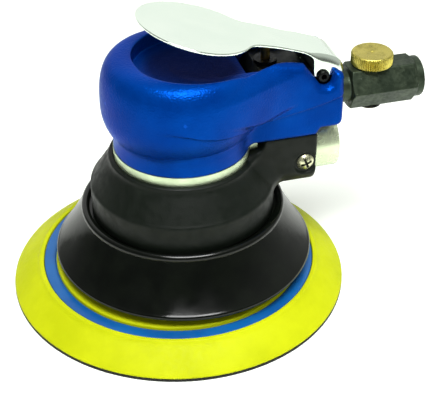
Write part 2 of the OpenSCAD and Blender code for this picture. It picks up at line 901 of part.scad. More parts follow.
module regulator_valve() {
    rim = 0.5;
    color("#c8a13c") translate([knob_x, 0, 0]) difference() {
        union() {
            translate([0, 0, knob_z]) linear_extrude(knob_h - rim) knurled_outline();
            translate([0, 0, knob_z + knob_h - rim])
                cylinder(r1 = knob_d / 2 - 0.4, r2 = knob_d / 2 - 0.9, h = rim);
            translate([0, 0, stem_end_z + 0.6]) cylinder(r = valve_stem_r, h = knob_z - stem_end_z);
            translate([0, 0, stem_end_z]) cylinder(r1 = valve_stem_r - 0.6, r2 = valve_stem_r, h = 0.6);
        }
        translate([0, 0, inlet_z]) rotate([0, 90, 0]) cylinder(r = 3, h = 20, center = true);
        for (z = [inlet_z - 6, inlet_z + 5]) translate([0, 0, z]) ring(valve_stem_r + past, valve_stem_r - 1, 1.2);
        translate([0, 0, clip_z]) ring(valve_stem_r + past, valve_stem_r - 0.8, 0.8);
    }
}

module regulator_orings() {
    tube = 0.5;
    color("#202020") for (z = [inlet_z - 5.4, inlet_z + 5.6])
        translate([knob_x, 0, z]) torus(valve_stem_r - tube + 0.02, tube);
}

module regulator_clip() {
    color("#2a2a2a") translate([knob_x, 0, clip_z]) difference() {
        ring(valve_stem_r + 0.9, valve_stem_r - 0.8, 0.8);
        translate([-20, -1.6, -past]) cube([20, 3.2, 4]);
    }
}

// ---------------------------------------------------------------- shroud

module skirt_profile() {
    edge_r = skirt_d / 2;
    bead_r = 1.8;
    rim_r = rim_d / 2 - bead_r;
    neck_r = collar_d / 2 - 1.8;
    neck_wall = 2;
    polygon(concat(
        [[edge_r - skirt_wall, skirt_z], [edge_r, skirt_z], [edge_r + 0.3, skirt_z + 0.9],
            [edge_r, skirt_z + 1.8], [edge_r - 0.9, skirt_z + 2.2]],
        arc([rim_r, rim_z], bead_r, -20, 180, 12),
        [[rim_r - bead_r, rim_z - 0.7], [neck_r, rim_z - 0.7], [neck_r, collar_shoulder_z - 3.4],
            [neck_r - neck_wall, collar_shoulder_z - 3.4], [neck_r - neck_wall, rim_z - 3],
            [rim_r - 2, rim_z - 3.2]]
    ));
}

module shroud_skirt() {
    color("#0c0d0c") rotate_extrude() skirt_profile();
}

// Inside of the collar, open downwards
module collar_hollow() {
    rotate_extrude() polygon([
        [0, 20], [collar_d / 2 - 1.8, 20], [collar_d / 2 - 1.8, 50.6], [33.6, 57], [housing_r, 58.5],
        [housing_r, 90], [0, 90]
    ]);
}

module collar_profile() {
    r = collar_d / 2;
    polygon(concat(
        [[housing_r - 2, rim_z - 0.3], [r, rim_z - 0.3], [r, collar_shoulder_z - 0.8],
            [r - 0.8, collar_shoulder_z]],
        [[35.4, 58.8], [32, 63.8], [31.9, 65]],
        arc([31, 65], 0.9, 0, 90, 3),
        [[housing_r - 2, 65.9]]
    ));
}

module arm_section() {
    w = arm_w / 2;
    bottom_z = 46.6;
    corner = 9.5;
    polygon(concat(
        arc([-w + corner, bottom_z + corner], corner, 180, 270, 8),
        arc([w - corner, bottom_z + corner], corner, 270, 360, 8),
        [[w, grip_z], [w - 3.5, grip_z], [w - 6, handle_z], [-w + 6, handle_z], [-w + 3.5, grip_z], [-w, grip_z]]
    ));
}

module arm_side_outline() {
    polygon(concat(
        [[18, 46], [arm_end_x, 46], [arm_end_x, handle_z], [33, handle_z]],
        arc([27.5, 72.8], 5.5, 0, -85, 6),
        [[18, 66]]
    ));
}

module arm_shape() {
    intersection() {
        section_x(18, arm_end_x) arm_section();
        side_plate(arm_w) arm_side_outline();
    }
}

module shroud_collar() {
    color("#1b1f1a") difference() {
        union() {
            rotate_extrude() collar_profile();
            arm_shape();
        }
        collar_hollow();
        rod_x(20, tube_z, duct_r, tube_x - 20);
        rod_x(tube_x, tube_z, tube_seat_r, 30);
        housing_shape();
        translate([nozzle_x, nozzle_y, tube_z]) cylinder(r = nozzle_r, h = 20);
        translate([screw_x, -arm_w / 2, screw_z]) rotate([90, 0, 0])
            translate([0, 0, -1.2]) cylinder(r = 5.4, h = 5);
        translate([screw_x, -arm_w / 2 + 1, screw_z]) rotate([-90, 0, 0]) cylinder(r = 1.9, h = 6);
    }
}

// ---------------------------------------------------------------- dust outlet

module screw_hole_cut(r) {
    translate([screw_x, -arm_w / 2, screw_z]) rotate([-90, 0, 0]) cylinder(r = r, h = 6);
}

module exhaust_tube() {
    color("#ccd4c6") difference() {
        translate([tube_x, 0, tube_z]) rotate([0, 90, 0]) rotate_extrude() polygon(concat(
            [[tube_r - tube_wall, 0], [tube_seat_r, 0]],
            [[tube_seat_r, tube_shoulder_x - tube_x], [tube_r, tube_shoulder_x - tube_x]],
            arc([tube_r - 0.7, tube_end_x - tube_x - 0.7], 0.7, 0, 90, 4),
            [[tube_r - tube_wall, tube_end_x - tube_x]]
        ));
        screw_hole_cut(1.9);
    }
}

module tube_screw() {
    head_r = 4;
    head_h = 2.2;
    sphere_r = (head_r * head_r + head_h * head_h) / (2 * head_h);
    color("#cfd3c4") translate([screw_x, -arm_w / 2 + 1.2, screw_z]) rotate([90, 0, 0]) difference() {
        union() {
            intersection() {
                translate([0, 0, head_h - sphere_r]) sphere(r = sphere_r);
                cylinder(r = head_r, h = head_h + past);
            }
            translate([0, 0, -3.8]) cylinder(r = 1.9, h = 3.8);
        }
        for (a = [20, 110])
            rotate([0, 0, a]) translate([-2.3, -0.5, head_h - 1.3]) cube([4.6, 1, 2]);
    }
}

module ejector_nozzle() {
    l = nozzle_end_x - nozzle_x;
    color("#5d6256") difference() {
        union() {
            translate([nozzle_x, nozzle_y, tube_z]) cylinder(r = nozzle_r, h = handle_z - tube_z);
            translate([nozzle_x, nozzle_y, tube_z]) sphere(r = nozzle_r);
            translate([nozzle_x, 0, tube_z]) rotate([-90, 0, 0]) cylinder(r = nozzle_r, h = nozzle_y);
            translate([nozzle_x, 0, tube_z]) sphere(r = nozzle_r);
            translate([nozzle_x, 0, tube_z]) rotate([0, 90, 0]) cylinder(r1 = nozzle_r, r2 = 2.1, h = l);
        }
        translate([nozzle_x, nozzle_y, tube_z]) cylinder(r = nozzle_bore_r, h = 30);
        translate([nozzle_x, nozzle_y, tube_z]) sphere(r = nozzle_bore_r);
        translate([nozzle_x, 0, tube_z]) rotate([-90, 0, 0]) cylinder(r = nozzle_bore_r, h = nozzle_y);
        translate([nozzle_x, 0, tube_z]) sphere(r = nozzle_bore_r);
        translate([nozzle_x, 0, tube_z]) rotate([0, 90, 0]) cylinder(r = nozzle_bore_r, h = l + past);
    }
}

// ---------------------------------------------------------------- assembly

grip_cover();
motor_housing();
lever_pin();
throttle_lever();
valve_stem();
valve_seal();
valve_seat();
valve_guide();
stem_oring();
valve_spring();
valve_plug();
regulator_body();
regulator_valve();
regulator_orings();
regulator_clip();
inlet_screen();
inlet_oring();
shroud_collar();
shroud_skirt();
exhaust_tube();
tube_screw();
ejector_nozzle();
lock_ring();
lower_endplate();
upper_endplate();
motor_cylinder();
alignment_pin();
rotor();
vanes();
rotor_key();
crankshaft();
upper_bearing_outer_race();
upper_bearing_inner_race();
upper_bearing_balls();
lower_bearing_outer_race();
lower_bearing_inner_race();
lower_bearing_balls();
spindle_bearing_outer_race();
spindle_bearing_inner_race();
spindle_bearing_balls();
spindle_retaining_ring();
spindle();
spindle_screw();
pad_washer();
pad_hub();
backing_plate();
pad_core();
pad_foam();
hook_face();
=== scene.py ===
# Six inch random orbital air sander: the looks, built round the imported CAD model.
# Shapes are worked out in millimetres in the CAD frame, and skins are made in metres.
import json
import math

import bpy
import numpy as np
from mathutils import Matrix, Vector

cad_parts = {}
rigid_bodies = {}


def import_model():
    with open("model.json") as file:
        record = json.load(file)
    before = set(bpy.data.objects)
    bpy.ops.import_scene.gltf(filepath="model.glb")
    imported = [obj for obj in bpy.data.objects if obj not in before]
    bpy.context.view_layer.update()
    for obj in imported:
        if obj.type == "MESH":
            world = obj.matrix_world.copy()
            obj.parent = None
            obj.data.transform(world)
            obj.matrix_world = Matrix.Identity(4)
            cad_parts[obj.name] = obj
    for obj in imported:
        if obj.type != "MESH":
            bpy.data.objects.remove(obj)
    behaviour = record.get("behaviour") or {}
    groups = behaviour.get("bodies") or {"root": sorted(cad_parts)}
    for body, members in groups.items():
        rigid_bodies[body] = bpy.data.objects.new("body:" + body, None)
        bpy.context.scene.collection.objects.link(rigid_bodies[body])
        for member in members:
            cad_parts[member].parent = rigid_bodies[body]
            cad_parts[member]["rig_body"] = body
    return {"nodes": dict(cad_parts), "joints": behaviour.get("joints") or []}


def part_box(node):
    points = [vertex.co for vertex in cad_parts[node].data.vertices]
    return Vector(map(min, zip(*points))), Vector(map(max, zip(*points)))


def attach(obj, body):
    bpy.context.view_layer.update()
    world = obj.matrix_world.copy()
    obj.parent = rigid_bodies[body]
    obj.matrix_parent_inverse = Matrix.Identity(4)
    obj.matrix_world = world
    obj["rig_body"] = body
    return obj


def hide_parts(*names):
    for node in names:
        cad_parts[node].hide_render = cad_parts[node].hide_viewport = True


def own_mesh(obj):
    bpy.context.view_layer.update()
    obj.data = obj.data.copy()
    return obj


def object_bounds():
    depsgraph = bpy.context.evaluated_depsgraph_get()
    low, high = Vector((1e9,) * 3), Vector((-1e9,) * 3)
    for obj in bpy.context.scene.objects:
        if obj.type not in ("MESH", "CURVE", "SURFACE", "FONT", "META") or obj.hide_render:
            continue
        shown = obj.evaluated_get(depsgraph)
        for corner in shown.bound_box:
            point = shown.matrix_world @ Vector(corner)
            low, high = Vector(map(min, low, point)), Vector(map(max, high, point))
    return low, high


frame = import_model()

MM = 0.001
cad_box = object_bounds()


def span(node):
    """Lowest and highest corner of a CAD node, in millimetres."""
    low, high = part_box(node)
    return low / MM, high / MM


# ---------------------------------------------------------------- sizes taken from the frame

hook_low, hook_high = span("hook_face")
PAD_X = (hook_low.x + hook_high.x) / 2
PAD_R = (hook_high.y - hook_low.y) / 2
HOOK_TOP = hook_high.z
FOAM_TOP = span("pad_foam")[1].z
PLATE_R = span("backing_plate")[1].y
PLATE_Z = span("backing_plate")[0].z
PLATE_TOP = span("backing_plate")[1].z
CORE_R = span("pad_core")[1].y
CORE_TOP = span("pad_core")[1].z
SKIRT_R = span("shroud_skirt")[1].y
SKIRT_Z = span("shroud_skirt")[0].z
SKIRT_TOP = span("shroud_skirt")[1].z
COLLAR_R = span("shroud_collar")[1].y
COLLAR_Z = span("shroud_collar")[0].z
ARM_END = span("shroud_collar")[1].x
ARM_TOP = span("shroud_collar")[1].z
HOUSING_R = span("motor_housing")[1].y
GRIP_Z = span("grip_cover")[0].z
CREST_Z = span("grip_cover")[1].z
BULGE_R = span("grip_cover")[1].y
HANDLE_END = span("grip_cover")[1].x
LEVER_TIP = span("throttle_lever")[0].x
TUBE_LOW, TUBE_HIGH = span("exhaust_tube")
TUBE_R = TUBE_HIGH.y
TUBE_Z = (TUBE_LOW.z + TUBE_HIGH.z) / 2
INLET_LOW, INLET_HIGH = span("regulator_body")
KNOB_LOW, KNOB_HIGH = span("regulator_valve")
KNOB_X = (KNOB_LOW.x + KNOB_HIGH.x) / 2
KNOB_R = KNOB_HIGH.y
PIN_HALF = span("lever_pin")[1].y
PIN_R = (span("lever_pin")[1].x - span("lever_pin")[0].x) / 2
SCREW_LOW, SCREW_HIGH = span("tube_screw")
SCREW_X = (SCREW_LOW.x + SCREW_HIGH.x) / 2
SCREW_Z = (SCREW_LOW.z + SCREW_HIGH.z) / 2
SCREW_R = (SCREW_HIGH.x - SCREW_LOW.x) / 2
PIVOT = Vector(next(j["pos_m"] for j in frame["joints"] if j["name"] == "lever_pivot")) / MM

INLET_Z = (INLET_LOW.z + INLET_HIGH.z) / 2
HEX_HALF = (INLET_HIGH.z - INLET_LOW.z) / 2

# Sizes and counts that the frame doesn't give, chosen to fit the CAD model.
DUST_HOLES = 6
DUST_CIRCLE_R = 40
DUST_HOLE_R = 5
HANDLE_HALF = 16.5
HANDLE_Z = 72.5
SLOT_HALF = 11.6
SHELF_Z = 94
CORE_HALF = 11.4
CORE_END_X = 66.1
CORE_TOP_Z = 110
DECK_Z = 97.2
VALVE_BAY_X = 26.5
VALVE_BAY_END_X = 54
ARM_HALF = 15
ARM_Z = 46.6
DUCT_R = 10.5
COLLAR_BORE_R = 38.4
COLLAR_SHOULDER_Z = 50.6
COLLAR_SEAT_Z = 58.5
SCREW_SINK_R = 5.4
NIPPLE_R = 6.5
NECK_R = 7
HEX_X = 74.5
HEX_END_X = 104.5
MOUTH_X = 94
FLOW_R = 4
VALVE_STEM_R = 4.5

# How far the screw's cross recess is turned.
SCREW_TURN = math.radians(20)


# ---------------------------------------------------------------- shape helpers

def meet(a, b, r):
    """The part inside both a and b, with their shared edge rounded to the radius r."""
    p = np.maximum(a + r, 0)
    q = np.maximum(b + r, 0)
    return np.minimum(np.maximum(a, b) + r, 0) + np.hypot(p, q) - r


def join(a, b, r):
    """The part inside a or b, with the corner between them filled to the radius r."""
    return -meet(-a, -b, r)


def cut(a, b, r):
    """The part inside a and outside b, with the new edge rounded to the radius r."""
    return meet(a, -b, r)


def ease(a, b, v):
    """0 below a, 1 above b, and a smooth step between."""
    t = np.clip((v - a) / (b - a), 0, 1)
    return t * t * (3 - 2 * t)


def curve_through(points):
    """A smooth function through the (input, output) points, flat beyond both ends."""
    fine = smooth_line(points, 20)
    return lambda v: np.interp(v, fine[:, 0], fine[:, 1])


def field(outline, step=0.25, margin=9):
    """Signed distance to a closed outline in a plane, as a quick function of the two coordinates."""
    ends = np.array(outline, float)
    low, high = ends.min(0) - margin, ends.max(0) + margin
    u, v = (np.arange(a, b + step, step) for a, b in zip(low, high))
    gu, gv = np.meshgrid(u, v, indexing="ij")
    distance = np.full(gu.shape, np.inf)
    inside = np.zeros(gu.shape, bool)
    for a, b in zip(ends, np.roll(ends, -1, axis=0)):
        edge = b - a
        if not edge.any():
            continue
        t = np.clip(((gu - a[0]) * edge[0] + (gv - a[1]) * edge[1]) / (edge @ edge), 0, 1)
        distance = np.minimum(distance, np.hypot(gu - a[0] - t * edge[0], gv - a[1] - t * edge[1]))
        if edge[1] != 0:
            inside ^= ((a[1] > gv) != (b[1] > gv)) & (gu < a[0] + edge[0] * (gv - a[1]) / edge[1])
    table = np.where(inside, -distance, distance)

    def at(x, y):
        i = np.clip((x - low[0]) / step, 0, len(u) - 1.001)
        j = np.clip((y - low[1]) / step, 0, len(v) - 1.001)
        m, n = i.astype(int), j.astype(int)
        p, q = i - m, j - n
        near = table[m, n] * (1 - p) + table[m + 1, n] * p
        far = table[m, n + 1] * (1 - p) + table[m + 1, n + 1] * p
        return near * (1 - q) + far * q

    return at


def arc(centre, radius, start, end, steps=8):
    """Points along an arc, in degrees."""
    angles = np.radians(np.linspace(start, end, steps + 1))
    return [(centre[0] + radius * math.cos(a), centre[1] + radius * math.sin(a)) for a in angles]


def smooth_line(points, steps=8):
    """Points along a smooth line through the given ones."""
    given = np.array(points, float)
    t = np.linspace(0, len(given) - 1, steps * (len(given) - 1) + 1)
    i = np.minimum(t.astype(int), len(given) - 2)
    t = (t - i)[:, None]
    before, a, b, after = (given[np.clip(i + k, 0, len(given) - 1)] for k in (-1, 0, 1, 2))
    return 0.5 * (2 * a + (b - before) * t + (2 * before - 5 * a + 4 * b - after) * t ** 2
                  + (3 * a - before - 3 * b + after) * t ** 3)


def mesh_object(name, points, faces, crease=180):
    """A smooth-shaded object from points in millimetres. Edges above crease degrees stay sharp."""
    mesh = bpy.data.meshes.new(name)
    mesh.from_pydata((np.asarray(points) * MM).tolist(), [], faces)
    mesh.validate()
    mesh.shade_smooth()
    if crease < 180:
        mesh.set_sharp_from_angle(angle=math.radians(crease))
    obj = bpy.data.objects.new(name, mesh)
    bpy.context.scene.collection.objects.link(obj)
    return obj


CORNERS = [(i, j, k) for i in (0, 1) for j in (0, 1) for k in (0, 1)]


def net_points(d, cells):
    """One point in each grid cell that the surface crosses, at the mean of its edge crossings."""
    value = np.stack([d[tuple((cells + c).T)] for c in CORNERS], 1)
    total = np.zeros((len(cells), 3))
    count = np.zeros(len(cells))
    for a, corner in enumerate(CORNERS):
        for axis in range(3):
            if corner[axis]:
                continue
            other = CORNERS.index(tuple(v + (k == axis) for k, v in enumerate(corner)))
            crossed = (value[:, a] < 0) != (value[:, other] < 0)
            t = value[crossed, a] / (value[crossed, a] - value[crossed, other])
            p = np.tile(np.array(corner, float), (len(t), 1))
            p[:, axis] += t
            total[crossed] += p
            count[crossed] += 1
    return cells + total / count[:, None]


def net_faces(inside, index):
    """A square across each grid edge that the surface crosses."""
    faces = []
    for axis in range(3):
        u, v = np.eye(3, dtype=int)[[(axis + 1) % 3, (axis + 2) % 3]]
        near = tuple(slice(0, -1) if k == axis else slice(None) for k in range(3))
        far = tuple(slice(1, None) if k == axis else slice(None) for k in range(3))
        at = np.argwhere(inside[near] != inside[far])
        quad = np.stack([index[tuple(p.T)] for p in (at, at - u, at - u - v, at - v)], 1)
        outward = inside[tuple(at.T)]
        quad[~outward] = quad[~outward][:, ::-1]
        faces.append(quad)
    return np.concatenate(faces)


def skin(name, shape, low, high, step):
    """The closed surface where shape(x, y, z) is 0, found on a grid of that step and then pulled onto it."""
    origin = np.array(low, float) - 2 * step
    axes = [np.arange(o, h + 2 * step, step) for o, h in zip(origin, high)]
    d = shape(*np.meshgrid(*axes, indexing="ij"))
    inside = d < 0
    n = np.array(d.shape) - 1
    some = np.zeros(n, bool)
    every = np.ones(n, bool)
    for c in CORNERS:
        part = inside[tuple(slice(o, o + m) for o, m in zip(c, n))]
        some |= part
        every &= part
    cells = np.argwhere(some & ~every)
    index = np.full(n, -1)
    index[tuple(cells.T)] = np.arange(len(cells))
    points = origin + net_points(d, cells) * step
    faces = net_faces(inside, index)
    nudge = step * 0.02
    for _ in range(3):
        here = shape(*points.T)
        slope = np.stack([(shape(*(points + e).T) - shape(*(points - e).T)) / (2 * nudge)
                          for e in np.eye(3) * nudge], 1)
        size = np.maximum((slope ** 2).sum(1), 0.25)
        move = slope * (here / size)[:, None]
        length = np.linalg.norm(move, axis=1, keepdims=True)
        points -= move * np.minimum(1, 0.4 * step / np.maximum(length, 1e-9))
    return mesh_object(name, points, faces.tolist())


def rounded(corners, steps=6):
    """A closed outline from (a, b, radius) corners, each rounded to its radius."""
    out = []
    n = len(corners)
    for i in range(n):
        p = Vector(corners[i][:2])
        radius = corners[i][2]
        back = Vector(corners[i - 1][:2]) - p
        ahead = Vector(corners[(i + 1) % n][:2]) - p
        if radius == 0:
            out.append(tuple(p))
            continue
        half = back.angle(ahead) / 2
        reach = min(radius / math.tan(half), back.length * 0.49, ahead.length * 0.49)
        start, end = p + back.normalized() * reach, p + ahead.normalized() * reach
        for k in range(steps + 1):
            t = k / steps
            out.append(tuple(start * (1 - t) ** 2 + p * 2 * t * (1 - t) + end * t ** 2))
    return out


def turned(name, outline, centre, axis="z", segments=288, crease=35, profile=None):
    """Turns a closed (radius, height) outline round an axis through centre. profile changes the radius."""
    angles = np.arange(segments) * 2 * math.pi / segments
    points, rows = [], []
    for r, h in outline:
        if r < 1e-6:
            rows.append([len(points)] * segments)
            points.append((0, 0, h))
            continue
        rows.append(list(range(len(points), len(points) + segments)))
        radii = np.full(segments, r) if profile is None else profile(r, h, angles)
        points += [(q * math.cos(a), q * math.sin(a), h) for q, a in zip(radii, angles)]
    faces = []
    for i in range(len(rows)):
        a, b = rows[i], rows[(i + 1) % len(rows)]
        for k in range(segments):
            m = (k + 1) % segments
            face = list(dict.fromkeys([a[k], a[m], b[m], b[k]]))
            if len(face) > 2:
                faces.append(face)
    points = np.array(points)
    if axis == "x":
        points = points[:, [2, 0, 1]]
    if axis == "y":
        points = points[:, [1, 2, 0]]
    return mesh_object(name, points + np.array(centre), faces, crease)


def face_outwards(obj):
    """Turns the faces of a closed mesh outwards."""
    mesh = obj.data
    n = len(mesh.vertices)
    co = np.zeros(n * 3)
    mesh.vertices.foreach_get("co", co)
    co = co.reshape(-1, 3)
    mesh.calc_loop_triangles()
    tri = np.zeros(len(mesh.loop_triangles) * 3, int)
    mesh.loop_triangles.foreach_get("vertices", tri)
    a, b, c = (co[tri.reshape(-1, 3)[:, k]] for k in range(3))
    if np.einsum("ij,ij->i", a, np.cross(b, c)).sum() < 0:
        mesh.flip_normals()
    return obj


def drilled(obj, cutters):
    """Cuts the cutters out of obj and removes them."""
    for cutter in cutters:
        modifier = obj.modifiers.new("hole", "BOOLEAN")
        modifier.object = cutter
        modifier.operation = "DIFFERENCE"
        modifier.solver = "EXACT"
    view = bpy.context.evaluated_depsgraph_get()
    mesh = bpy.data.meshes.new_from_object(obj.evaluated_get(view))
    obj.modifiers.clear()
    obj.data = mesh
    mesh.shade_smooth()
    mesh.set_sharp_from_angle(angle=math.radians(35))
    for cutter in cutters:
        bpy.data.objects.remove(cutter)
    return obj


def stand_for(obj, node, material):
    """obj takes the place of a CAD node and moves with its body."""
    face_outwards(obj)
    obj.data.materials.clear()
    obj.data.materials.append(material)
    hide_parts(node)
    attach(obj, frame["nodes"][node]["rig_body"])
    return obj


# ---------------------------------------------------------------- materials

class Finish:
    """A procedural material. Its textures are laid out in the part's own millimetres."""

    def __init__(self, name, metallic=0.0, ior=1.5):
        self.material = bpy.data.materials.new(name)
        self.material.use_nodes = True
        self.tree = self.material.node_tree
        self.shader = self.tree.nodes["Principled BSDF"]
        self.shader.inputs["Metallic"].default_value = metallic
        self.shader.inputs["IOR"].default_value = ior
        place = self.add("ShaderNodeTexCoord")
        self.mm = self.add("ShaderNodeVectorMath", operation="SCALE")
        self.mm.inputs["Scale"].default_value = 1 / MM
        self.link(place.outputs["Object"], self.mm.inputs[0])
        self.bump = None

    def add(self, kind, **settings):
        node = self.tree.nodes.new(kind)
        for key, value in settings.items():
            setattr(node, key, value)
        return node

    def link(self, a, b):
        self.tree.links.new(a, b)

    def noise(self, per_mm, detail, rough=0.5, stretch=None):
        """Cloudy values from 0 to 1, with about per_mm waves in a millimetre."""
        node = self.add("ShaderNodeTexNoise")
        node.inputs["Scale"].default_value = per_mm
        node.inputs["Detail"].default_value = detail
        node.inputs["Roughness"].default_value = rough
        self.link(self.stretched(stretch), node.inputs["Vector"])
        return node.outputs["Fac"]

    def cells(self, per_mm, feature="F1", smooth=0.5):
        """Distance to scattered points, for grain and pores."""
        node = self.add("ShaderNodeTexVoronoi", feature=feature)
        node.inputs["Scale"].default_value = per_mm
        if feature == "SMOOTH_F1":
            node.inputs["Smoothness"].default_value = smooth
        self.link(self.mm.outputs[0], node.inputs["Vector"])
        return node.outputs["Distance"]

    def stretched(self, stretch):
        if stretch is None:
            return self.mm.outputs[0]
        node = self.add("ShaderNodeVectorMath", operation="MULTIPLY")
        node.inputs[1].default_value = stretch
        self.link(self.mm.outputs[0], node.inputs[0])
        return node.outputs[0]

    def axis(self, name):
        """The X, Y or Z place on the part, in millimetres."""
        node = self.add("ShaderNodeSeparateXYZ")
        self.link(self.mm.outputs[0], node.inputs[0])
        return node.outputs[name]

    def from_line(self, centre_x):
        """Distance from the upright line at (centre_x, 0), in millimetres."""
        offset = self.math("SUBTRACT", self.axis("X"), centre_x)
        across = self.axis("Y")
        squares = [self.math("MULTIPLY", v, v) for v in (offset, across)]
        return self.math("SQRT", self.math("ADD", *squares))

    def math(self, operation, a, b=0.0, c=0.0):
        node = self.add("ShaderNodeMath", operation=operation)
        for socket, value in zip(node.inputs, (a, b, c)):
            if isinstance(value, (int, float)):
                socket.default_value = value
            else:
                self.link(value, socket)
        return node.outputs[0]

    def band(self, value, low, high, out_low=0.0, out_high=1.0):
        """Maps value from low..high to out_low..out_high, held beyond both ends."""
        node = self.add("ShaderNodeMapRange", interpolation_type="SMOOTHSTEP")
        for key, number in zip(("From Min", "From Max", "To Min", "To Max"), (low, high, out_low, out_high)):
            node.inputs[key].default_value = number
        self.link(value, node.inputs["Value"])
        return node.outputs[0]

    def blend(self, factor, a, b):
        """Colour a where factor is 0 and b where it is 1."""
        node = self.add("ShaderNodeMix", data_type="RGBA")
        for key, value in (("A", a), ("B", b)):
            socket = next(s for s in node.inputs if s.name == key and s.type == "RGBA")
            if isinstance(value, tuple):
                socket.default_value = (*value, 1)
            else:
                self.link(value, socket)
        self.link(factor, node.inputs["Factor"])
        return next(s for s in node.outputs if s.type == "RGBA")

    def colour(self, socket):
        self.link(socket, self.shader.inputs["Base Color"])

    def roughness(self, socket):
        self.link(socket, self.shader.inputs["Roughness"])

    def relief(self, height, depth_mm):
        """Adds a bump of that depth, on top of any that is there."""
        node = self.add("ShaderNodeBump")
        node.inputs["Distance"].default_value = depth_mm * MM
        self.link(height, node.inputs["Height"])
        if self.bump is not None:
            self.link(self.bump, node.inputs["Normal"])
        self.bump = node.outputs["Normal"]
        self.link(self.bump, self.shader.inputs["Normal"])

    def worn_edges(self, low, high):
        """Rises to 1 along the convex edges of a fine mesh."""
        node = self.add("ShaderNodeNewGeometry")
        return self.band(node.outputs["Pointiness"], low, high)


def blue_grip_finish():
    """Grained blue with paler edges, and painted shade darkening the dish under the paddle."""
    f = Finish("blue_moulded_grip", metallic=0.45, ior=1.45)
    f.shader.inputs["Specular IOR Level"].default_value = 0.12
    f.shader.inputs["Specular Tint"].default_value = (0.08, 0.4, 1.0, 1.0)
    grain = f.cells(1.35, "SMOOTH_F1", 0.6)
    cloud = f.noise(0.05, 4)
    base = f.blend(f.band(cloud, 0.3, 0.7), (0.0, 0.028, 0.21), (0.0, 0.043, 0.28))
    base = f.blend(f.math("MULTIPLY", f.worn_edges(0.53, 0.6), 0.35), base, (0.01, 0.12, 0.7))
    in_dish = f.band(f.from_line(POCKET_X), POCKET_R - 9, POCKET_R - 0.5, 1.0, 0.0)
    # Painted shade: the dish under the paddle is blended towards near black in place of the paddle's shadow,
    # and made rougher.
    painted_dish_shade = f.math("MULTIPLY", in_dish, f.band(f.axis("Z"), CREST_Z - 6, CREST_Z - 2, 0.86, 0.0))
    base = f.blend(painted_dish_shade, base, (0.0, 0.006, 0.06))
    f.colour(base)
    f.roughness(f.math("MULTIPLY_ADD", painted_dish_shade, 0.3, f.band(f.noise(0.4, 5), 0.25, 0.75, 0.28, 0.37)))
    f.relief(grain, 0.13)
    f.relief(f.noise(3.5, 2), 0.02)
    return f.material


def polished_lever_finish():
    f = Finish("polished_steel", metallic=1.0)
    cloud = f.noise(0.06, 3)
    f.colour(f.blend(f.band(cloud, 0.3, 0.7), (0.84, 0.95, 0.84), (0.88, 0.98, 0.87)))
    f.roughness(f.band(f.noise(0.5, 4, stretch=(0.2, 2.0, 1.0)), 0.3, 0.7, 0.15, 0.19))
    f.relief(f.noise(0.05, 2), 0.05)
    f.relief(f.noise(2.5, 3), 0.001)
    return f.material


def aluminium_finish():
    """Bare turned metal on the band, and painted shade higher up, inside the grip, where the slot under the
    lever is in shadow.
    """
    f = Finish("turned_aluminium", metallic=0.9)
    height = f.axis("Z")
    # Painted shade: above the band the colour goes near black, in place of the shadow inside the grip.
    inside = f.band(height, GRIP_Z + 1, GRIP_Z + 4)
    bare = f.blend(f.band(f.noise(0.1, 4), 0.3, 0.7), (0.48, 0.58, 0.38), (0.6, 0.7, 0.48))
    f.colour(f.blend(inside, bare, (0.012, 0.014, 0.012)))
    lines = f.math("SINE", f.math("MULTIPLY", height, 14.0))
    f.roughness(f.band(f.noise(0.5, 4), 0.3, 0.7, 0.3, 0.45))
    f.relief(lines, 0.004)
    return f.material


def matt_black_finish():
    f = Finish("matt_black_moulding")
    f.shader.inputs["Specular IOR Level"].default_value = 0.18
    dust = f.band(f.noise(0.12, 6, 0.6), 0.5, 0.8)
    f.colour(f.blend(f.math("MULTIPLY", dust, 0.3), (0.003, 0.005, 0.003), (0.01, 0.014, 0.009)))
    f.roughness(f.band(f.noise(0.3, 4), 0.3, 0.7, 0.42, 0.6))
    f.relief(f.cells(2.2, "SMOOTH_F1"), 0.025)
    return f.material


def gloss_black_finish():
    f = Finish("gloss_black_moulding")
    f.shader.inputs["Specular IOR Level"].default_value = 0.3
    f.colour(f.blend(f.band(f.noise(0.1, 3), 0.35, 0.7), (0.0012, 0.0018, 0.0012), (0.0025, 0.0035, 0.0022)))
    scratches = f.band(f.noise(0.7, 6, 0.7, stretch=(1.0, 1.0, 0.12)), 0.62, 0.75)
    smooth = f.band(f.noise(0.08, 3), 0.3, 0.7, 0.1, 0.2)
    f.roughness(f.math("MULTIPLY_ADD", scratches, 0.1, smooth))
    f.relief(f.noise(0.25, 2), 0.03)
    return f.material


def yellow_foam_finish():
    """Soft, slightly translucent foam with open pores."""
    f = Finish("yellow_pad_foam", ior=1.42)
    f.shader.inputs["Specular IOR Level"].default_value = 0.15
    f.shader.inputs["Subsurface Weight"].default_value = 0.12
    f.shader.inputs["Subsurface Radius"].default_value = (0.9, 0.8, 0.15)
    f.shader.inputs["Subsurface Scale"].default_value = 1.2 * MM
    cloud = f.band(f.noise(0.045, 5, 0.6), 0.32, 0.68)
    base = f.blend(cloud, (0.43, 0.48, 0.001), (0.5, 0.55, 0.003))
    pores = f.band(f.cells(3.0), 0.0, 0.22)
    # Painted shade: the pores are coloured darker than the foam around them.
    f.colour(f.blend(pores, (0.37, 0.41, 0.002), base))
    f.roughness(f.band(f.noise(0.6, 4), 0.3, 0.7, 0.5, 0.68))
    f.relief(pores, 0.02)
    f.relief(f.noise(0.35, 4), 0.06)
    return f.material


def blue_plate_finish():
    f = Finish("blue_plate_plastic", ior=1.46)
    f.colour(f.blend(f.band(f.noise(0.06, 4), 0.3, 0.7), (0.001, 0.068, 0.25), (0.002, 0.095, 0.31)))
    f.roughness(f.band(f.noise(0.5, 4), 0.3, 0.7, 0.28, 0.42))
    f.relief(f.noise(1.6, 3), 0.015)
    return f.material


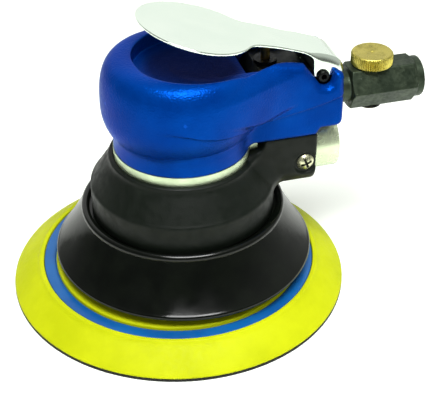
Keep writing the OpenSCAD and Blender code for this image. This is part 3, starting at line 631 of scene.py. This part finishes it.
def hook_finish():
    """The hooked backing cloth: rows of tiny stems on a woven ground."""
    f = Finish("hook_cloth", ior=1.4)
    stems = f.cells(1.3)
    f.colour(f.blend(f.band(stems, 0.1, 0.5), (0.03, 0.03, 0.026), (0.008, 0.009, 0.007)))
    f.roughness(f.band(stems, 0.0, 0.6, 0.55, 0.9))
    f.relief(f.band(stems, 0.0, 0.45, 1.0, 0.0), 0.35)
    return f.material


def brass_finish():
    f = Finish("turned_brass", metallic=1.0)
    tarnish = f.band(f.noise(0.35, 6, 0.65), 0.45, 0.75)
    f.colour(f.blend(tarnish, (0.58, 0.5, 0.11), (0.34, 0.29, 0.05)))
    rings = f.math("SINE", f.math("MULTIPLY", f.from_line(KNOB_X), 16.0))
    f.roughness(f.band(f.noise(1.1, 4), 0.3, 0.7, 0.26, 0.42))
    f.relief(rings, 0.025)
    f.relief(f.noise(4.0, 3), 0.01)
    return f.material


def dark_plated_finish():
    f = Finish("dark_plated_steel", metallic=0.75)
    cloud = f.band(f.noise(0.18, 5, 0.6), 0.35, 0.7)
    base = f.blend(cloud, (0.022, 0.034, 0.02), (0.05, 0.068, 0.042))
    scuffs = f.band(f.noise(0.55, 8, 0.72, stretch=(0.5, 1.0, 1.3)), 0.62, 0.74)
    base = f.blend(f.math("MULTIPLY", scuffs, 0.55), base, (0.32, 0.38, 0.29))
    f.colour(f.blend(f.math("MULTIPLY", f.worn_edges(0.54, 0.64), 0.7), base, (0.36, 0.42, 0.32)))
    f.roughness(f.band(f.noise(0.7, 5), 0.3, 0.7, 0.36, 0.55))
    f.relief(f.noise(1.4, 6, 0.65), 0.02)
    return f.material


def plated_tube_finish():
    f = Finish("plated_tube", metallic=0.7)
    f.colour(f.blend(f.band(f.noise(0.08, 4), 0.3, 0.7), (0.58, 0.67, 0.44), (0.68, 0.77, 0.53)))
    f.roughness(f.band(f.noise(0.25, 3), 0.3, 0.7, 0.25, 0.28))
    f.relief(f.noise(0.9, 3), 0.002)
    return f.material


def zinc_screw_finish():
    """Bright on the head, and painted shade down in its cross recess."""
    f = Finish("zinc_screw", metallic=0.9)
    bright = f.blend(f.band(f.noise(0.6, 5), 0.35, 0.7), (0.7, 0.7, 0.46), (0.5, 0.5, 0.32))
    across = f.math("SUBTRACT", f.axis("X"), SCREW_X)
    up = f.math("SUBTRACT", f.axis("Z"), SCREW_Z)
    cos, sin = math.cos(SCREW_TURN), math.sin(SCREW_TURN)
    a = f.math("MULTIPLY_ADD", across, cos, f.math("MULTIPLY", up, sin))
    b = f.math("MULTIPLY_ADD", up, cos, f.math("MULTIPLY", across, -sin))
    arms = f.math("MINIMUM", f.math("ABSOLUTE", a), f.math("ABSOLUTE", b))
    reach = f.math("MAXIMUM", f.math("ABSOLUTE", a), f.math("ABSOLUTE", b))
    # Painted shade: the cross recess is coloured near black.
    recess = f.math("MULTIPLY", f.band(arms, 0.5, 0.62, 1.0, 0.0), f.band(reach, 2.35, 2.75, 1.0, 0.0))
    f.colour(f.blend(recess, bright, (0.01, 0.01, 0.008)))
    f.roughness(f.band(f.noise(1.5, 4), 0.3, 0.7, 0.2, 0.34))
    f.relief(f.noise(3.0, 4), 0.01)
    return f.material


def plain_metal_finish(name, colour, dark, rough):
    """Machined inner metal with an oily film."""
    f = Finish(name, metallic=1.0)
    f.colour(f.blend(f.band(f.noise(0.3, 5), 0.35, 0.7), colour, dark))
    f.roughness(f.band(f.noise(0.8, 4), 0.3, 0.7, rough, rough + 0.14))
    f.relief(f.noise(2.0, 4), 0.008)
    return f.material


def rubber_finish():
    f = Finish("seal_rubber")
    f.colour(f.blend(f.band(f.noise(0.8, 4), 0.35, 0.7), (0.012, 0.012, 0.012), (0.025, 0.025, 0.024)))
    f.roughness(f.band(f.noise(1.2, 3), 0.3, 0.7, 0.55, 0.75))
    f.relief(f.noise(3.0, 3), 0.01)
    return f.material


def vane_finish():
    """Cloth-filled resin, with its weave showing."""
    f = Finish("vane_resin")
    weave = f.math("MULTIPLY", f.math("SINE", f.math("MULTIPLY", f.axis("Z"), 9.0)),
                   f.math("SINE", f.math("MULTIPLY", f.axis("X"), 9.0)))
    f.colour(f.blend(f.band(weave, -1, 1), (0.1, 0.045, 0.02), (0.16, 0.075, 0.035)))
    f.roughness(f.band(f.noise(0.8, 3), 0.3, 0.7, 0.45, 0.6))
    f.relief(weave, 0.02)
    return f.material


# ---------------------------------------------------------------- grip

# Height of the step round the grip's side, along x.
STEP_LINE = curve_through([(-40, 93), (-12, 93), (0, 90.2), (8, 88.3), (18, 86.3), (25, 84.2), (31, 83),
                           (42.5, 84.8), (56.8, 87.6), (67, 90.7), (80, 94)])
# Height of the grip's top, along x: level over the head, then falling towards the inlet.
TOP_LINE = curve_through([(-40, CREST_Z), (8, CREST_Z), (22, CREST_Z - 0.5), (35, CREST_Z - 2.3),
                          (48, CREST_Z - 4.8), (54, CREST_Z - 5.8), (80, CREST_Z - 5.8)])
LOW_R, BULGE_Z, WAIST_R = 23, 91, 29.3
CREST_R, FULLNESS = 22, 3
POCKET_X, POCKET_R = 5, 25
# How far the grip above the step stands out past the grip below it.
PROUD = 0.9


def head_outline():
    """The head's outline: a straight waist, a bulge and a full, rounded crest."""
    sweep = smooth_line([(WAIST_R, 74.5), (WAIST_R + 0.3, 77), (30.4, 79.2)], 6)
    lower = [p for p in arc((BULGE_R - LOW_R, BULGE_Z), LOW_R, -34, 0, 16) if p[1] > 79.8]
    outline = [(0, 55), (WAIST_R, 55), *map(tuple, sweep)] + lower
    for a in np.radians(np.linspace(2, 90, 30)):
        r = CREST_R + (BULGE_R - CREST_R) * math.cos(a) ** (2 / FULLNESS)
        outline.append((r, BULGE_Z + (CREST_Z - BULGE_Z) * math.sin(a) ** (2 / FULLNESS)))
    return outline + [(0, CREST_Z)]


def side_outline(end):
    """The handle seen from the side. end is how its upper edge finishes over the lever's pin."""
    outline = [(0, HANDLE_Z), (56, HANDLE_Z), (58, HANDLE_Z + 3)]
    outline += arc((HANDLE_END - 3, HANDLE_Z + 6), 3, -90, 0)
    top = smooth_line([(50, 106), (48, 107), (35, 109.4), (20, 111.4), (0, 111.6)])
    return outline + end + top[4:].tolist()


head_field = field(head_outline(), margin=45)
near_end = arc((HANDLE_END - 3, 98.3), 3, 0, 110) + arc((59.5, 98.6), 3.4, -40, -140)
near_field = field(side_outline(near_end), margin=45)
far_field = field(side_outline(arc((62.5, 99.8), 5.2, 0, 140) + [(54, 104.2)]), margin=45)


def arm_top(y):
    """Height of the dust arm's top across its width."""
    return ARM_TOP - 2.5 * ease(9, 11.5, np.abs(y))


def grip_hollow(x, y, z):
    """What the cover leaves free: housing, dust arm and tube, the inlet's neck and the lever's pin."""
    bore = np.maximum(np.hypot(x, y) - HOUSING_R + 2.1, z - DECK_Z)
    bay_top = np.where(x < VALVE_BAY_END_X, CORE_TOP_Z, SHELF_Z + 0.5)
    core_top = np.where(x < VALVE_BAY_X, DECK_Z, bay_top)
    core = np.maximum(np.maximum(np.abs(y) - CORE_HALF, np.maximum(x - CORE_END_X, -x)), z - core_top)
    arm_side = np.maximum(np.abs(y) - ARM_HALF - 0.05, np.maximum(x - ARM_END - 0.2, -x))
    arm = np.maximum(arm_side, z - arm_top(y) - 0.05)
    pipe = np.maximum(np.hypot(y, z - TUBE_Z) - TUBE_R - 0.35, 50 - x)
    neck = np.maximum(np.hypot(y, z - INLET_Z) - NECK_R - 0.3, 60 - x)
    pin = np.maximum(np.hypot(x - PIVOT.x, z - PIVOT.z) - PIN_R - 0.1, np.abs(y) - PIN_HALF - 0.3)
    return np.minimum.reduce([bore, core, arm, pipe, neck, pin])


def pocket_shape(x, y, z):
    """The dish under the lever's paddle, with a bowl floor, and the slot that it runs out into."""
    bowl_x, bowl_z, bowl_r = 10, 174, 70
    slot_x, shelf_x = 14, 30.6
    bowl = bowl_r - np.sqrt((x - bowl_x) ** 2 + y ** 2 + (z - bowl_z) ** 2)
    from_centre = np.hypot(x - POCKET_X, y) - POCKET_R
    dish = meet(from_centre, -bowl, 6)
    floor = np.where(x < shelf_x, 104 - 1.5 * ease(18, 30, x), SHELF_Z) - z
    walls = np.maximum(np.abs(y) - SLOT_HALF, slot_x - x)
    slot = np.maximum(walls, floor)
    flare = join(from_centre, walls, 15)
    return np.minimum(np.minimum(dish, slot), np.maximum(flare, 105.5 - z))


def grip_shape(x, y, z):
    """Head and handle run together above the step, and meet in a sharp corner below it."""
    r = np.hypot(x, y)
    fade = ease(-20, 0, x)
    above = z - STEP_LINE(x)
    sunk = PROUD * (1 - ease(-0.4, 0.3, above)) * fade
    head = head_field(r, z) + sunk * ease(76, 80, z)
    side = np.abs(y) - HANDLE_HALF + sunk
    edge = 1.8 + 2.2 * ease(85, 98, z)
    handle = np.where(y < 0, meet(side, near_field(x, z), edge), meet(side, far_field(x, z), edge))
    body = join(head, handle, 3 + 15 * ease(-1, 5, above) * ease(111, 102, z))
    body = np.maximum(body, z - TOP_LINE(x))
    front_right = ease(-0.7, 0.5, (x - 2 * y) / np.maximum(r, 1))
    body = cut(body, pocket_shape(x, y, z), 0.5 + 1.5 * front_right * ease(46, 34, x))
    return np.maximum(np.maximum(body, -grip_hollow(x, y, z)), GRIP_Z - z)


def grip_cover():
    obj = skin("moulded_grip", grip_shape, (-35, -35, 69), (69, 35, 114.5), 0.6)
    return stand_for(obj, "grip_cover", blue_grip_finish())


# ---------------------------------------------------------------- lever

LEVER_T = 1.1
PADDLE_X, PADDLE_R = LEVER_TIP + 24, 24
CHANNEL_HALF = 9.2
EAR_END_Z = 98.6
# Half of the neck's width, along x.
LEVER_HALF = curve_through([(19, 18), (22.5, 13.6), (26.5, 11.6), (34, 10.8), (42, 10.1), (50, 9.9),
                            (55, 11.2), (66, 11.2), (72, 9.5)])
# The middle of the sheet in side view, from the paddle's tip to the bent tail.
LEVER_LINE = [(-19.5, 130.3), (6, 122.95), (34, 115.75), (50, 110.35), (61, 107.15), (67, 103.4),
              (69.4, EAR_END_Z)]


def under_line(offset):
    """Everything under the lever's middle line, moved up by the offset."""
    line = smooth_line(LEVER_LINE)
    along = np.gradient(line, axis=0)
    across = np.stack([-along[:, 1], along[:, 0]], 1) / np.linalg.norm(along, axis=1, keepdims=True)
    moved = line + across * offset
    return moved.tolist() + [(moved[-1][0], 60), (moved[0][0], 60)]


def ear_outline():
    """One of the two ears that reach down to the pin."""
    return [(54.6, 112)] + arc((PIVOT.x, PIVOT.z), 4.3, 200, 300) + [(69.9, 98.7), (72, 104), (66, 112)]


top_field = field(under_line(LEVER_T / 2), 0.2)
under_field = field(under_line(-LEVER_T / 2), 0.2)
ear_field = field(ear_outline(), 0.2)


def lever_shape(x, y, z):
    """A sheet cut to the lever's plan, with edges that bend down over the handle and run into the ears."""
    paddle = np.hypot(x - PADDLE_X, y) - PADDLE_R
    dish = 0.5 * ease(1, 0, (np.clip(paddle + PADDLE_R, 0, PADDLE_R) / PADDLE_R) ** 2)
    plan = join(paddle, np.maximum(np.abs(y) - LEVER_HALF(x), 19 - x), 3)
    bent = ease(50, 59, x)
    outside = meet(top_field(x, z + dish), plan, 0.4 + 3.2 * bent)
    under = under_field(x, z + dish)
    channel = meet(under, np.abs(y) - CHANNEL_HALF, 2.2)
    reach = join(-under - 1.6 * bent, ear_field(x, z), 1.5)
    sheet = meet(np.maximum(outside, -channel), reach, 0.25)
    sheet = np.maximum(sheet, EAR_END_Z - z)
    hole = np.hypot(x - PIVOT.x, z - PIVOT.z) - PIN_R - 0.06
    return np.maximum(sheet, -hole)


def throttle_lever():
    obj = skin("polished_lever", lever_shape, (LEVER_TIP - 1, -25, 93), (71, 25, 132.5), 0.36)
    return stand_for(obj, "throttle_lever", polished_lever_finish())


def lever_pin():
    bore_r = 1.15
    outline = rounded([(bore_r, -PIN_HALF, 0.2), (PIN_R, -PIN_HALF, 0.5), (PIN_R, PIN_HALF, 0.5),
                       (bore_r, PIN_HALF, 0.2)])
    obj = turned("hollow_pin", outline, (PIVOT.x, 0, PIVOT.z), "y", 64)
    finish = plain_metal_finish("black_oxide_pin", (0.02, 0.022, 0.02), (0.008, 0.008, 0.008), 0.35)
    return stand_for(obj, "lever_pin", finish)


def valve_spring():
    """The coil under the valve's seal, standing on the plug. The real coil closes up as the valve opens;
    this one is built at one length.
    """
    low, high = span("valve_spring")
    wire_r, turns, sides = 0.35, 4, 10
    coil_r = (high.x - low.x) / 2 - wire_r
    centre = (low + high) / 2
    along = np.linspace(0, 1, turns * 36 + 1)[:, None]
    around = np.arange(sides) * 2 * math.pi / sides
    r = coil_r + wire_r * np.cos(around)
    turn = 2 * math.pi * turns * along
    z = low.z + wire_r + (high.z - low.z - 2 * wire_r) * along + wire_r * np.sin(around)
    points = np.stack([centre.x + r * np.cos(turn), r * np.sin(turn), z], -1).reshape(-1, 3)
    rings = [[i * sides + k for k in range(sides)] for i in range(len(along))]
    faces = [rings[0], rings[-1][::-1]]
    for a, b in zip(rings, rings[1:]):
        faces += [[a[k], b[k], b[(k + 1) % sides], a[(k + 1) % sides]] for k in range(sides)]
    obj = mesh_object("coil_spring", points, faces, 60)
    finish = plain_metal_finish("spring_steel", (0.5, 0.51, 0.5), (0.3, 0.3, 0.3), 0.28)
    stand_for(obj, "valve_spring", finish)
    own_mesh(obj)


# ---------------------------------------------------------------- shroud

def arm_shape(x, y, z):
    """The arm that holds the dust tube, with a round belly and a notch under its end."""
    section = meet(np.abs(y) - ARM_HALF, ARM_Z - z, 9.3)
    section = meet(section, z - arm_top(y), 0.6)
    notch = meet(66.8 - z, x - 33, 5.5)
    body = cut(section, notch, 1.0)
    return meet(body, np.maximum(x - ARM_END, 16 - x), 1.4)


def collar_outline():
    """The collar's wall: an upright band, a sloping shoulder and a thick lip round the housing."""
    r = COLLAR_R
    outer = [(r, COLLAR_Z - 6), (r, 51.4), (r - 0.3, 52.1), (r - 0.9, 52.8)]
    shoulder = smooth_line([(r - 0.9, 52.8), (35.2, 59), (32.6, 62.9), (31.9, 64.6)], 6).tolist()[1:]
    inner = [(HOUSING_R, 66), (HOUSING_R, COLLAR_SEAT_Z), (33.6, 57), (COLLAR_BORE_R, COLLAR_SHOULDER_Z),
             (COLLAR_BORE_R, COLLAR_Z - 6)]
    return outer + shoulder + arc((31, 65), 0.9, 0, 90) + inner


collar_field = field(collar_outline())


def collar_shape(x, y, z):
    """Collar and arm in one, less the bore, the dust duct, the handle's core and the screw's sink."""
    r = np.hypot(x, y)
    past_bore = r - COLLAR_BORE_R
    slope = 0.8 * past_bore + 0.6 * (z - COLLAR_SHOULDER_Z)
    inside = np.maximum(past_bore, np.maximum(slope, z - COLLAR_SEAT_Z))
    inside = np.minimum(inside, r - HOUSING_R)
    shell = np.maximum(join(collar_field(r, z), arm_shape(x, y, z), 4.5), -inside)
    duct = np.maximum(np.hypot(y, z - TUBE_Z) - np.where(x < TUBE_LOW.x, DUCT_R, TUBE_R), 20 - x)
    handle_core = np.maximum(np.abs(y) - CORE_HALF, 74.9 - z)
    shell = np.maximum(np.maximum(shell, -duct), -handle_core)
    sink = np.maximum(np.hypot(x - SCREW_X, z - SCREW_Z) - SCREW_SINK_R, y + 13.8)
    return np.maximum(cut(shell, sink, 0.4), COLLAR_Z - z)


def shroud_collar():
    obj = skin("collar_and_arm", collar_shape, (-41.5, -41.5, 38), (58, 41.5, 76), 0.62)
    return stand_for(obj, "shroud_collar", matt_black_finish())


def shroud_skirt():
    """The gloss cone: a beaded lower edge, a rounded rim and a neck inside the collar."""
    r, wall, neck_r = SKIRT_R, 2.4, 36.4
    rim_r, rim_z, bead = 43.2, 39.3, 1.8
    outline = [(r - wall, SKIRT_Z), (r - 0.7, SKIRT_Z), (r - 0.2, SKIRT_Z + 0.25), (r, SKIRT_Z + 0.9),
               (r - 0.15, SKIRT_Z + 1.6), (r - 0.6, SKIRT_Z + 2.1), (r - 1.35, SKIRT_Z + 2.45)]
    for a in np.radians(np.arange(-25, 181, 8)):
        outline.append((rim_r + bead * math.cos(a), rim_z + bead * math.sin(a)))
    outline += [(rim_r - bead, rim_z - 0.7), (38.6, rim_z - 0.7), (COLLAR_BORE_R, rim_z - 0.4)]
    outline += [(COLLAR_BORE_R, SKIRT_TOP)]
    outline += [(neck_r, SKIRT_TOP), (neck_r, rim_z - 3), (rim_r - 2, rim_z - 3.2)]
    obj = turned("gloss_skirt", outline, (0, 0, 0), crease=50)
    return stand_for(obj, "shroud_skirt", gloss_black_finish())


def exhaust_tube():
    wall = 1.4
    x0, x1 = TUBE_LOW.x, TUBE_HIGH.x
    outline = rounded([(TUBE_R - wall, x0, 0.3), (TUBE_R, x0, 0.3), (TUBE_R, x1, 0.7),
                       (TUBE_R - wall, x1, 0.6)])
    obj = turned("dust_outlet_tube", outline, (0, 0, TUBE_Z), "x", 160)
    return stand_for(obj, "exhaust_tube", plated_tube_finish())


def screw_shape(x, y, z):
    """A domed head with a cross recess, turned by 20 degrees, on a plain shank."""
    u, v, depth = x - SCREW_X, z - SCREW_Z, -(y - SCREW_LOW.y)
    r = np.hypot(u, v)
    dome_r, arm_half, shank_r = 4.74, 0.52, 1.9
    dome = np.sqrt(u ** 2 + v ** 2 + (depth + dome_r) ** 2) - dome_r
    head = meet(dome, r - SCREW_R, 0.25)
    head = meet(head, -depth - 2.2, 0.2)
    cos, sin = math.cos(SCREW_TURN), math.sin(SCREW_TURN)
    a = u * cos + v * sin
    b = v * cos - u * sin
    reach = 2.7 + 0.5 * depth
    arms = np.minimum(np.maximum(np.abs(a) - reach, np.abs(b) - arm_half),
                      np.maximum(np.abs(b) - reach, np.abs(a) - arm_half))
    recess = np.maximum(arms, -depth - 1.7)
    shank = np.maximum(r - shank_r, depth + 2)
    shank = np.maximum(shank, y - SCREW_HIGH.y)
    return np.minimum(cut(head, recess, 0.12), shank)


def tube_screw():
    obj = skin("cross_recess_screw", screw_shape, SCREW_LOW, SCREW_HIGH, 0.14)
    return stand_for(obj, "tube_screw", zinc_screw_finish())


# ---------------------------------------------------------------- air inlet

def regulator_shape(x, y, z):
    """A chamfered hexagon with a neck, a nipple, a round end, a threaded mouth and the knob's bore."""
    c = z - INLET_Z
    r = np.hypot(y, c)
    corner = HEX_HALF * 2 / math.sqrt(3)
    cos60, sin60 = 0.5, 0.866
    hexagon = meet(np.abs(c) - HEX_HALF, np.abs(c) * cos60 + np.abs(y) * sin60 - HEX_HALF, 0.35)
    ends = np.maximum(HEX_X - x, x - HEX_END_X)
    chamfer = (r - corner) * cos60 + (ends + 0.75) * sin60
    nut = meet(meet(hexagon, chamfer, 0.15), ends, 0.15)
    flange_r, flange_x, inner_end_x = 9, 90, 80
    flange = meet(r - flange_r, np.maximum(x - INLET_HIGH.x, flange_x - x), 0.7)
    neck = np.maximum(r - NECK_R, np.maximum(INLET_LOW.x + 12 - x, x - inner_end_x))
    nipple = np.maximum(r - NIPPLE_R, np.maximum(INLET_LOW.x - x, x - inner_end_x))
    body = np.minimum(np.minimum(join(nut, neck, 0.8), nipple), flange)
    pitch = 1.41
    phase = (x / pitch - np.arctan2(c, y) / (2 * math.pi)) % 1
    thread = 5.2 + 0.75 * np.abs(phase - 0.5) * 2
    mouth = np.maximum(thread, 6.6 - (INLET_HIGH.x - x))
    bore = np.maximum(r - np.where(x > MOUTH_X, mouth, FLOW_R), INLET_LOW.x - 1 - x)
    stem = np.hypot(x - KNOB_X, y) - VALVE_STEM_R - 0.06
    return np.maximum(np.maximum(body, -bore), -stem)


def regulator_body():
    obj = skin("hexagon_regulator", regulator_shape, INLET_LOW, INLET_HIGH, 0.3)
    return stand_for(obj, "regulator_body", dark_plated_finish())


def regulator_valve():
    """The knurled brass knob and the stem through the body, which shows again below it."""
    knurls, depth = 56, 0.8
    r, stem = KNOB_R, VALVE_STEM_R
    top, low = KNOB_HIGH.z, KNOB_LOW.z
    base = top - 5.5

    def knurled(radius, height, angles):
        wave = np.abs((angles * knurls / (2 * math.pi)) % 1 - 0.5) * 2
        cut_in = depth * (1 if radius > r - 0.3 and height > base - 0.1 else 0)
        return radius - cut_in * wave ** 1.5

    outline = [(0, low), (stem - 1, low), (stem - 0.2, low + 0.3), (stem, low + 1), (stem, base)]
    outline += [(r - 1.1, base), (r - 0.45, base + 0.15), (r, base + 0.6), (r, base + 2.6)]
    outline += [(r, top - 0.75), (r - 0.4, top - 0.3), (r - 0.7, top - 0.08), (r - 1.1, top)]
    dimple = [(7.2, 0.05), (5, 0.16), (3, 0.24), (1.4, 0.28), (0.9, 0.45), (0, 0.8)]
    outline += [(radius, top - deep) for radius, deep in dimple]
    obj = turned("knurled_brass_knob", outline, (KNOB_X, 0, 0), segments=knurls * 8, crease=50,
                 profile=knurled)
    return stand_for(obj, "regulator_valve", brass_finish())


# ---------------------------------------------------------------- sanding pad

def dust_cutters():
    """Cylinders through the pad, evenly round it."""
    out = []
    for i in range(DUST_HOLES):
        a = (i + 0.5) * 2 * math.pi / DUST_HOLES
        outline = [(0, -5), (DUST_HOLE_R, -5), (DUST_HOLE_R, CORE_TOP + 5), (0, CORE_TOP + 5)]
        place = (PAD_X + DUST_CIRCLE_R * math.cos(a), DUST_CIRCLE_R * math.sin(a), 0)
        out.append(face_outwards(turned("cutter", outline, place, segments=64)))
    return out


def pad_disc(name, node, outline, material):
    """One turned layer of the pad with the dust holes through it."""
    obj = face_outwards(turned(name, outline, (PAD_X, 0, 0), crease=30))
    drilled(obj, dust_cutters())
    return stand_for(obj, node, material)


def pad_foam():
    """The foam: a cone down to the sanding edge, with a rounded lip round the blue plate."""
    lip_in, lip_out, bulge = PLATE_R + 0.15, PLATE_R + 2.6, 0.45
    outline = [(0, HOOK_TOP), (PAD_R - 0.5, HOOK_TOP), (PAD_R - 0.1, HOOK_TOP + 0.3)]
    outline += [(PAD_R - 0.05, HOOK_TOP + 0.8), (PAD_R - 0.4, HOOK_TOP + 1.3)]
    for t in np.linspace(0.08, 1, 8):
        r = (PAD_R - 0.5) + (lip_out + 0.2 - PAD_R + 0.5) * t
        z = (HOOK_TOP + 1.4) + (FOAM_TOP - 1.1 - HOOK_TOP - 1.4) * t + bulge * math.sin(math.pi * t)
        outline.append((r, z))
    for a in np.radians(np.arange(35, 91, 11)):
        outline.append((lip_out - 1.1 + 1.15 * math.cos(a), FOAM_TOP - 1.15 + 1.15 * math.sin(a)))
    for a in np.radians(np.arange(100, 181, 16)):
        outline.append((lip_in + 0.7 + 0.7 * math.cos(a), FOAM_TOP - 0.7 + 0.7 * math.sin(a)))
    outline += [(lip_in, PLATE_Z), (0, PLATE_Z)]
    foam = pad_disc("foam_pad", "pad_foam", outline, yellow_foam_finish())
    return foam


def backing_plate():
    r = PLATE_R
    top, recess = PLATE_TOP, PLATE_TOP - 0.35
    outline = [(0, PLATE_Z), (r, PLATE_Z), (r, top - 0.5), (r - 0.2, top - 0.12), (r - 0.6, top)]
    outline += [(CORE_R + 0.7, top), (CORE_R + 0.35, recess), (CORE_R - 1, recess), (0, recess)]
    return pad_disc("blue_backing_plate", "backing_plate", outline, blue_plate_finish())


def pad_core():
    r, edge_r, hub_r = CORE_R, 0.9, 11
    outline = [(hub_r, PLATE_TOP - 0.3), (r, PLATE_TOP - 0.3)]
    outline += arc((r - edge_r, PLATE_TOP + 0.6), edge_r, 0, 80, 5)
    outline += [(r - 3, PLATE_TOP + 1.65), (45, PLATE_TOP + 2.7), (33, CORE_TOP), (hub_r, CORE_TOP)]
    return pad_disc("foam_core_disc", "pad_core", outline, yellow_foam_finish())


def hook_face():
    r = PAD_R
    outline = [(0, 0), (r - 0.6, 0), (r - 0.15, 0.25), (r, 0.75)]
    outline += [(r - 0.1, HOOK_TOP - 0.1), (r - 0.4, HOOK_TOP), (0, HOOK_TOP)]
    return pad_disc("hook_backing", "hook_face", outline, hook_finish())


# ---------------------------------------------------------------- CAD nodes that stay

def finish_cad_nodes():
    """Gives each CAD node that still shows its own finish."""
    steel = plain_metal_finish("machined_steel", (0.42, 0.43, 0.42), (0.24, 0.25, 0.24), 0.3)
    bearing = plain_metal_finish("bearing_steel", (0.62, 0.63, 0.63), (0.45, 0.46, 0.46), 0.16)
    black = plain_metal_finish("black_steel_and_painted_shade", (0.03, 0.03, 0.03), (0.012, 0.012, 0.012), 0.35)
    brass = plain_metal_finish("valve_brass", (0.72, 0.5, 0.16), (0.42, 0.28, 0.08), 0.28)
    rubber = rubber_finish()
    chosen = {"motor_housing": aluminium_finish(), "vanes": vane_finish()}
    chosen["regulator_clip"] = black
    for node in ("valve_seal", "stem_oring", "regulator_orings", "inlet_oring"):
        chosen[node] = rubber
    # The clip is really black steel. The valve's guide and plug take this black as painted shade, in place
    # of the dark shade in the slot round the valve.
    for node in ("valve_guide", "valve_plug"):
        chosen[node] = black
    for node in ("valve_stem", "valve_seat", "inlet_screen"):
        chosen[node] = brass
    for name, obj in frame["nodes"].items():
        if obj.hide_render:
            continue
        material = chosen.get(name, bearing if "bearing" in name else steel)
        obj.data.materials.clear()
        obj.data.materials.append(material)
        for polygon in obj.data.polygons:
            polygon.use_smooth = True


# ---------------------------------------------------------------- studio

def floor():
    """A pale floor at the height the pad stands on."""
    mesh = bpy.data.meshes.new("floor")
    half = 3.0
    corners = [(-half, -half, 0), (half, -half, 0), (half, half, 0), (-half, half, 0)]
    mesh.from_pydata(corners, [], [(0, 1, 2, 3)])
    obj = bpy.data.objects.new("floor", mesh)
    bpy.context.scene.collection.objects.link(obj)
    obj.location.z = cad_box[0].z
    material = bpy.data.materials.new("pale_floor")
    material.use_nodes = True
    shader = material.node_tree.nodes["Principled BSDF"]
    shader.inputs["Base Color"].default_value = (0.86, 0.88, 0.84, 1)
    shader.inputs["Roughness"].default_value = 0.9
    shader.inputs["Emission Color"].default_value = (0.97, 1, 0.93, 1)
    shader.inputs["Emission Strength"].default_value = 0.3
    mesh.materials.append(material)


def area_light(name, place, aim, size, watts, glossy=True, diffuse=True):
    data = bpy.data.lights.new(name, "AREA")
    data.shape = "RECTANGLE"
    data.size, data.size_y = size
    data.energy = watts
    obj = bpy.data.objects.new(name, data)
    obj.location = place
    obj.rotation_euler = (Vector(aim) - Vector(place)).to_track_quat("-Z", "Y").to_euler()
    obj.visible_camera = False
    obj.visible_glossy = glossy
    obj.visible_diffuse = diffuse
    bpy.context.scene.collection.objects.link(obj)


def studio_world():
    """A studio that is bright behind and above the object and darker on the camera's side."""
    world = bpy.data.worlds.new("studio")
    bpy.context.scene.world = world
    world.use_nodes = True
    tree = world.node_tree
    back = tree.nodes["Background"]
    place = tree.nodes.new("ShaderNodeTexCoord")
    toward = tree.nodes.new("ShaderNodeVectorMath")
    toward.operation = "DOT_PRODUCT"
    toward.inputs[1].default_value = (0.45, 0.65, 0.55)
    tree.links.new(place.outputs["Generated"], toward.inputs[0])
    ramp = tree.nodes.new("ShaderNodeMapRange")
    ramp.interpolation_type = "SMOOTHSTEP"
    for key, number in (("From Min", -0.15), ("From Max", 0.7), ("To Min", 0.12), ("To Max", 0.5)):
        ramp.inputs[key].default_value = number
    tree.links.new(toward.outputs["Value"], ramp.inputs["Value"])
    tree.links.new(ramp.outputs[0], back.inputs["Strength"])
    back.inputs["Color"].default_value = (0.97, 1.0, 0.95, 1)


def camera():
    """The photograph's view: a long lens from the front left, looking down at the head."""
    aim = Vector((0.0053, -0.0303, 0.0582))
    azimuth, elevation, roll = math.radians(-15.58), math.radians(34.63), math.radians(-0.24)
    distance = 0.5
    level = math.cos(elevation)
    back = Vector((math.sin(azimuth) * level, -math.cos(azimuth) * level, math.sin(elevation)))
    data = bpy.data.cameras.new("camera")
    data.sensor_width = 36
    data.lens = 101.56
    obj = bpy.data.objects.new("camera", data)
    obj.matrix_world = Matrix.Translation(aim + back * distance) @ (
        (-back).to_track_quat("-Z", "Y").to_matrix().to_4x4() @ Matrix.Rotation(roll, 4, "Z"))
    bpy.context.scene.collection.objects.link(obj)
    bpy.context.scene.camera = obj


def lights():
    """A softbox overhead, a card that shows only in reflections, and two fills that show in none."""
    area_light("overhead_softbox", (-0.02, -0.3, 0.75), (0, 0, 0.08), (0.42, 0.34), 9)
    area_light("white_card_behind", (0.3, 1.8, 0.9), (0, 0, 0.1), (3.6, 2.6), 14, diffuse=False)
    area_light("key_from_left", (-0.8, -0.3, 0.7), (0, 0, 0.05), (0.6, 0.6), 0.9, glossy=False)
    area_light("front_fill", (0.1, -1.0, 0.35), (0, 0, 0.05), (0.9, 0.5), 1.1, glossy=False)


# ---------------------------------------------------------------- assembly

bpy.context.scene.view_settings.view_transform = "Standard"
camera()
floor()
studio_world()
lights()

grip_cover()
throttle_lever()
lever_pin()
valve_spring()
shroud_collar()
shroud_skirt()
exhaust_tube()
tube_screw()
regulator_body()
regulator_valve()
pad_foam()
backing_plate()
pad_core()
hook_face()
finish_cad_nodes()
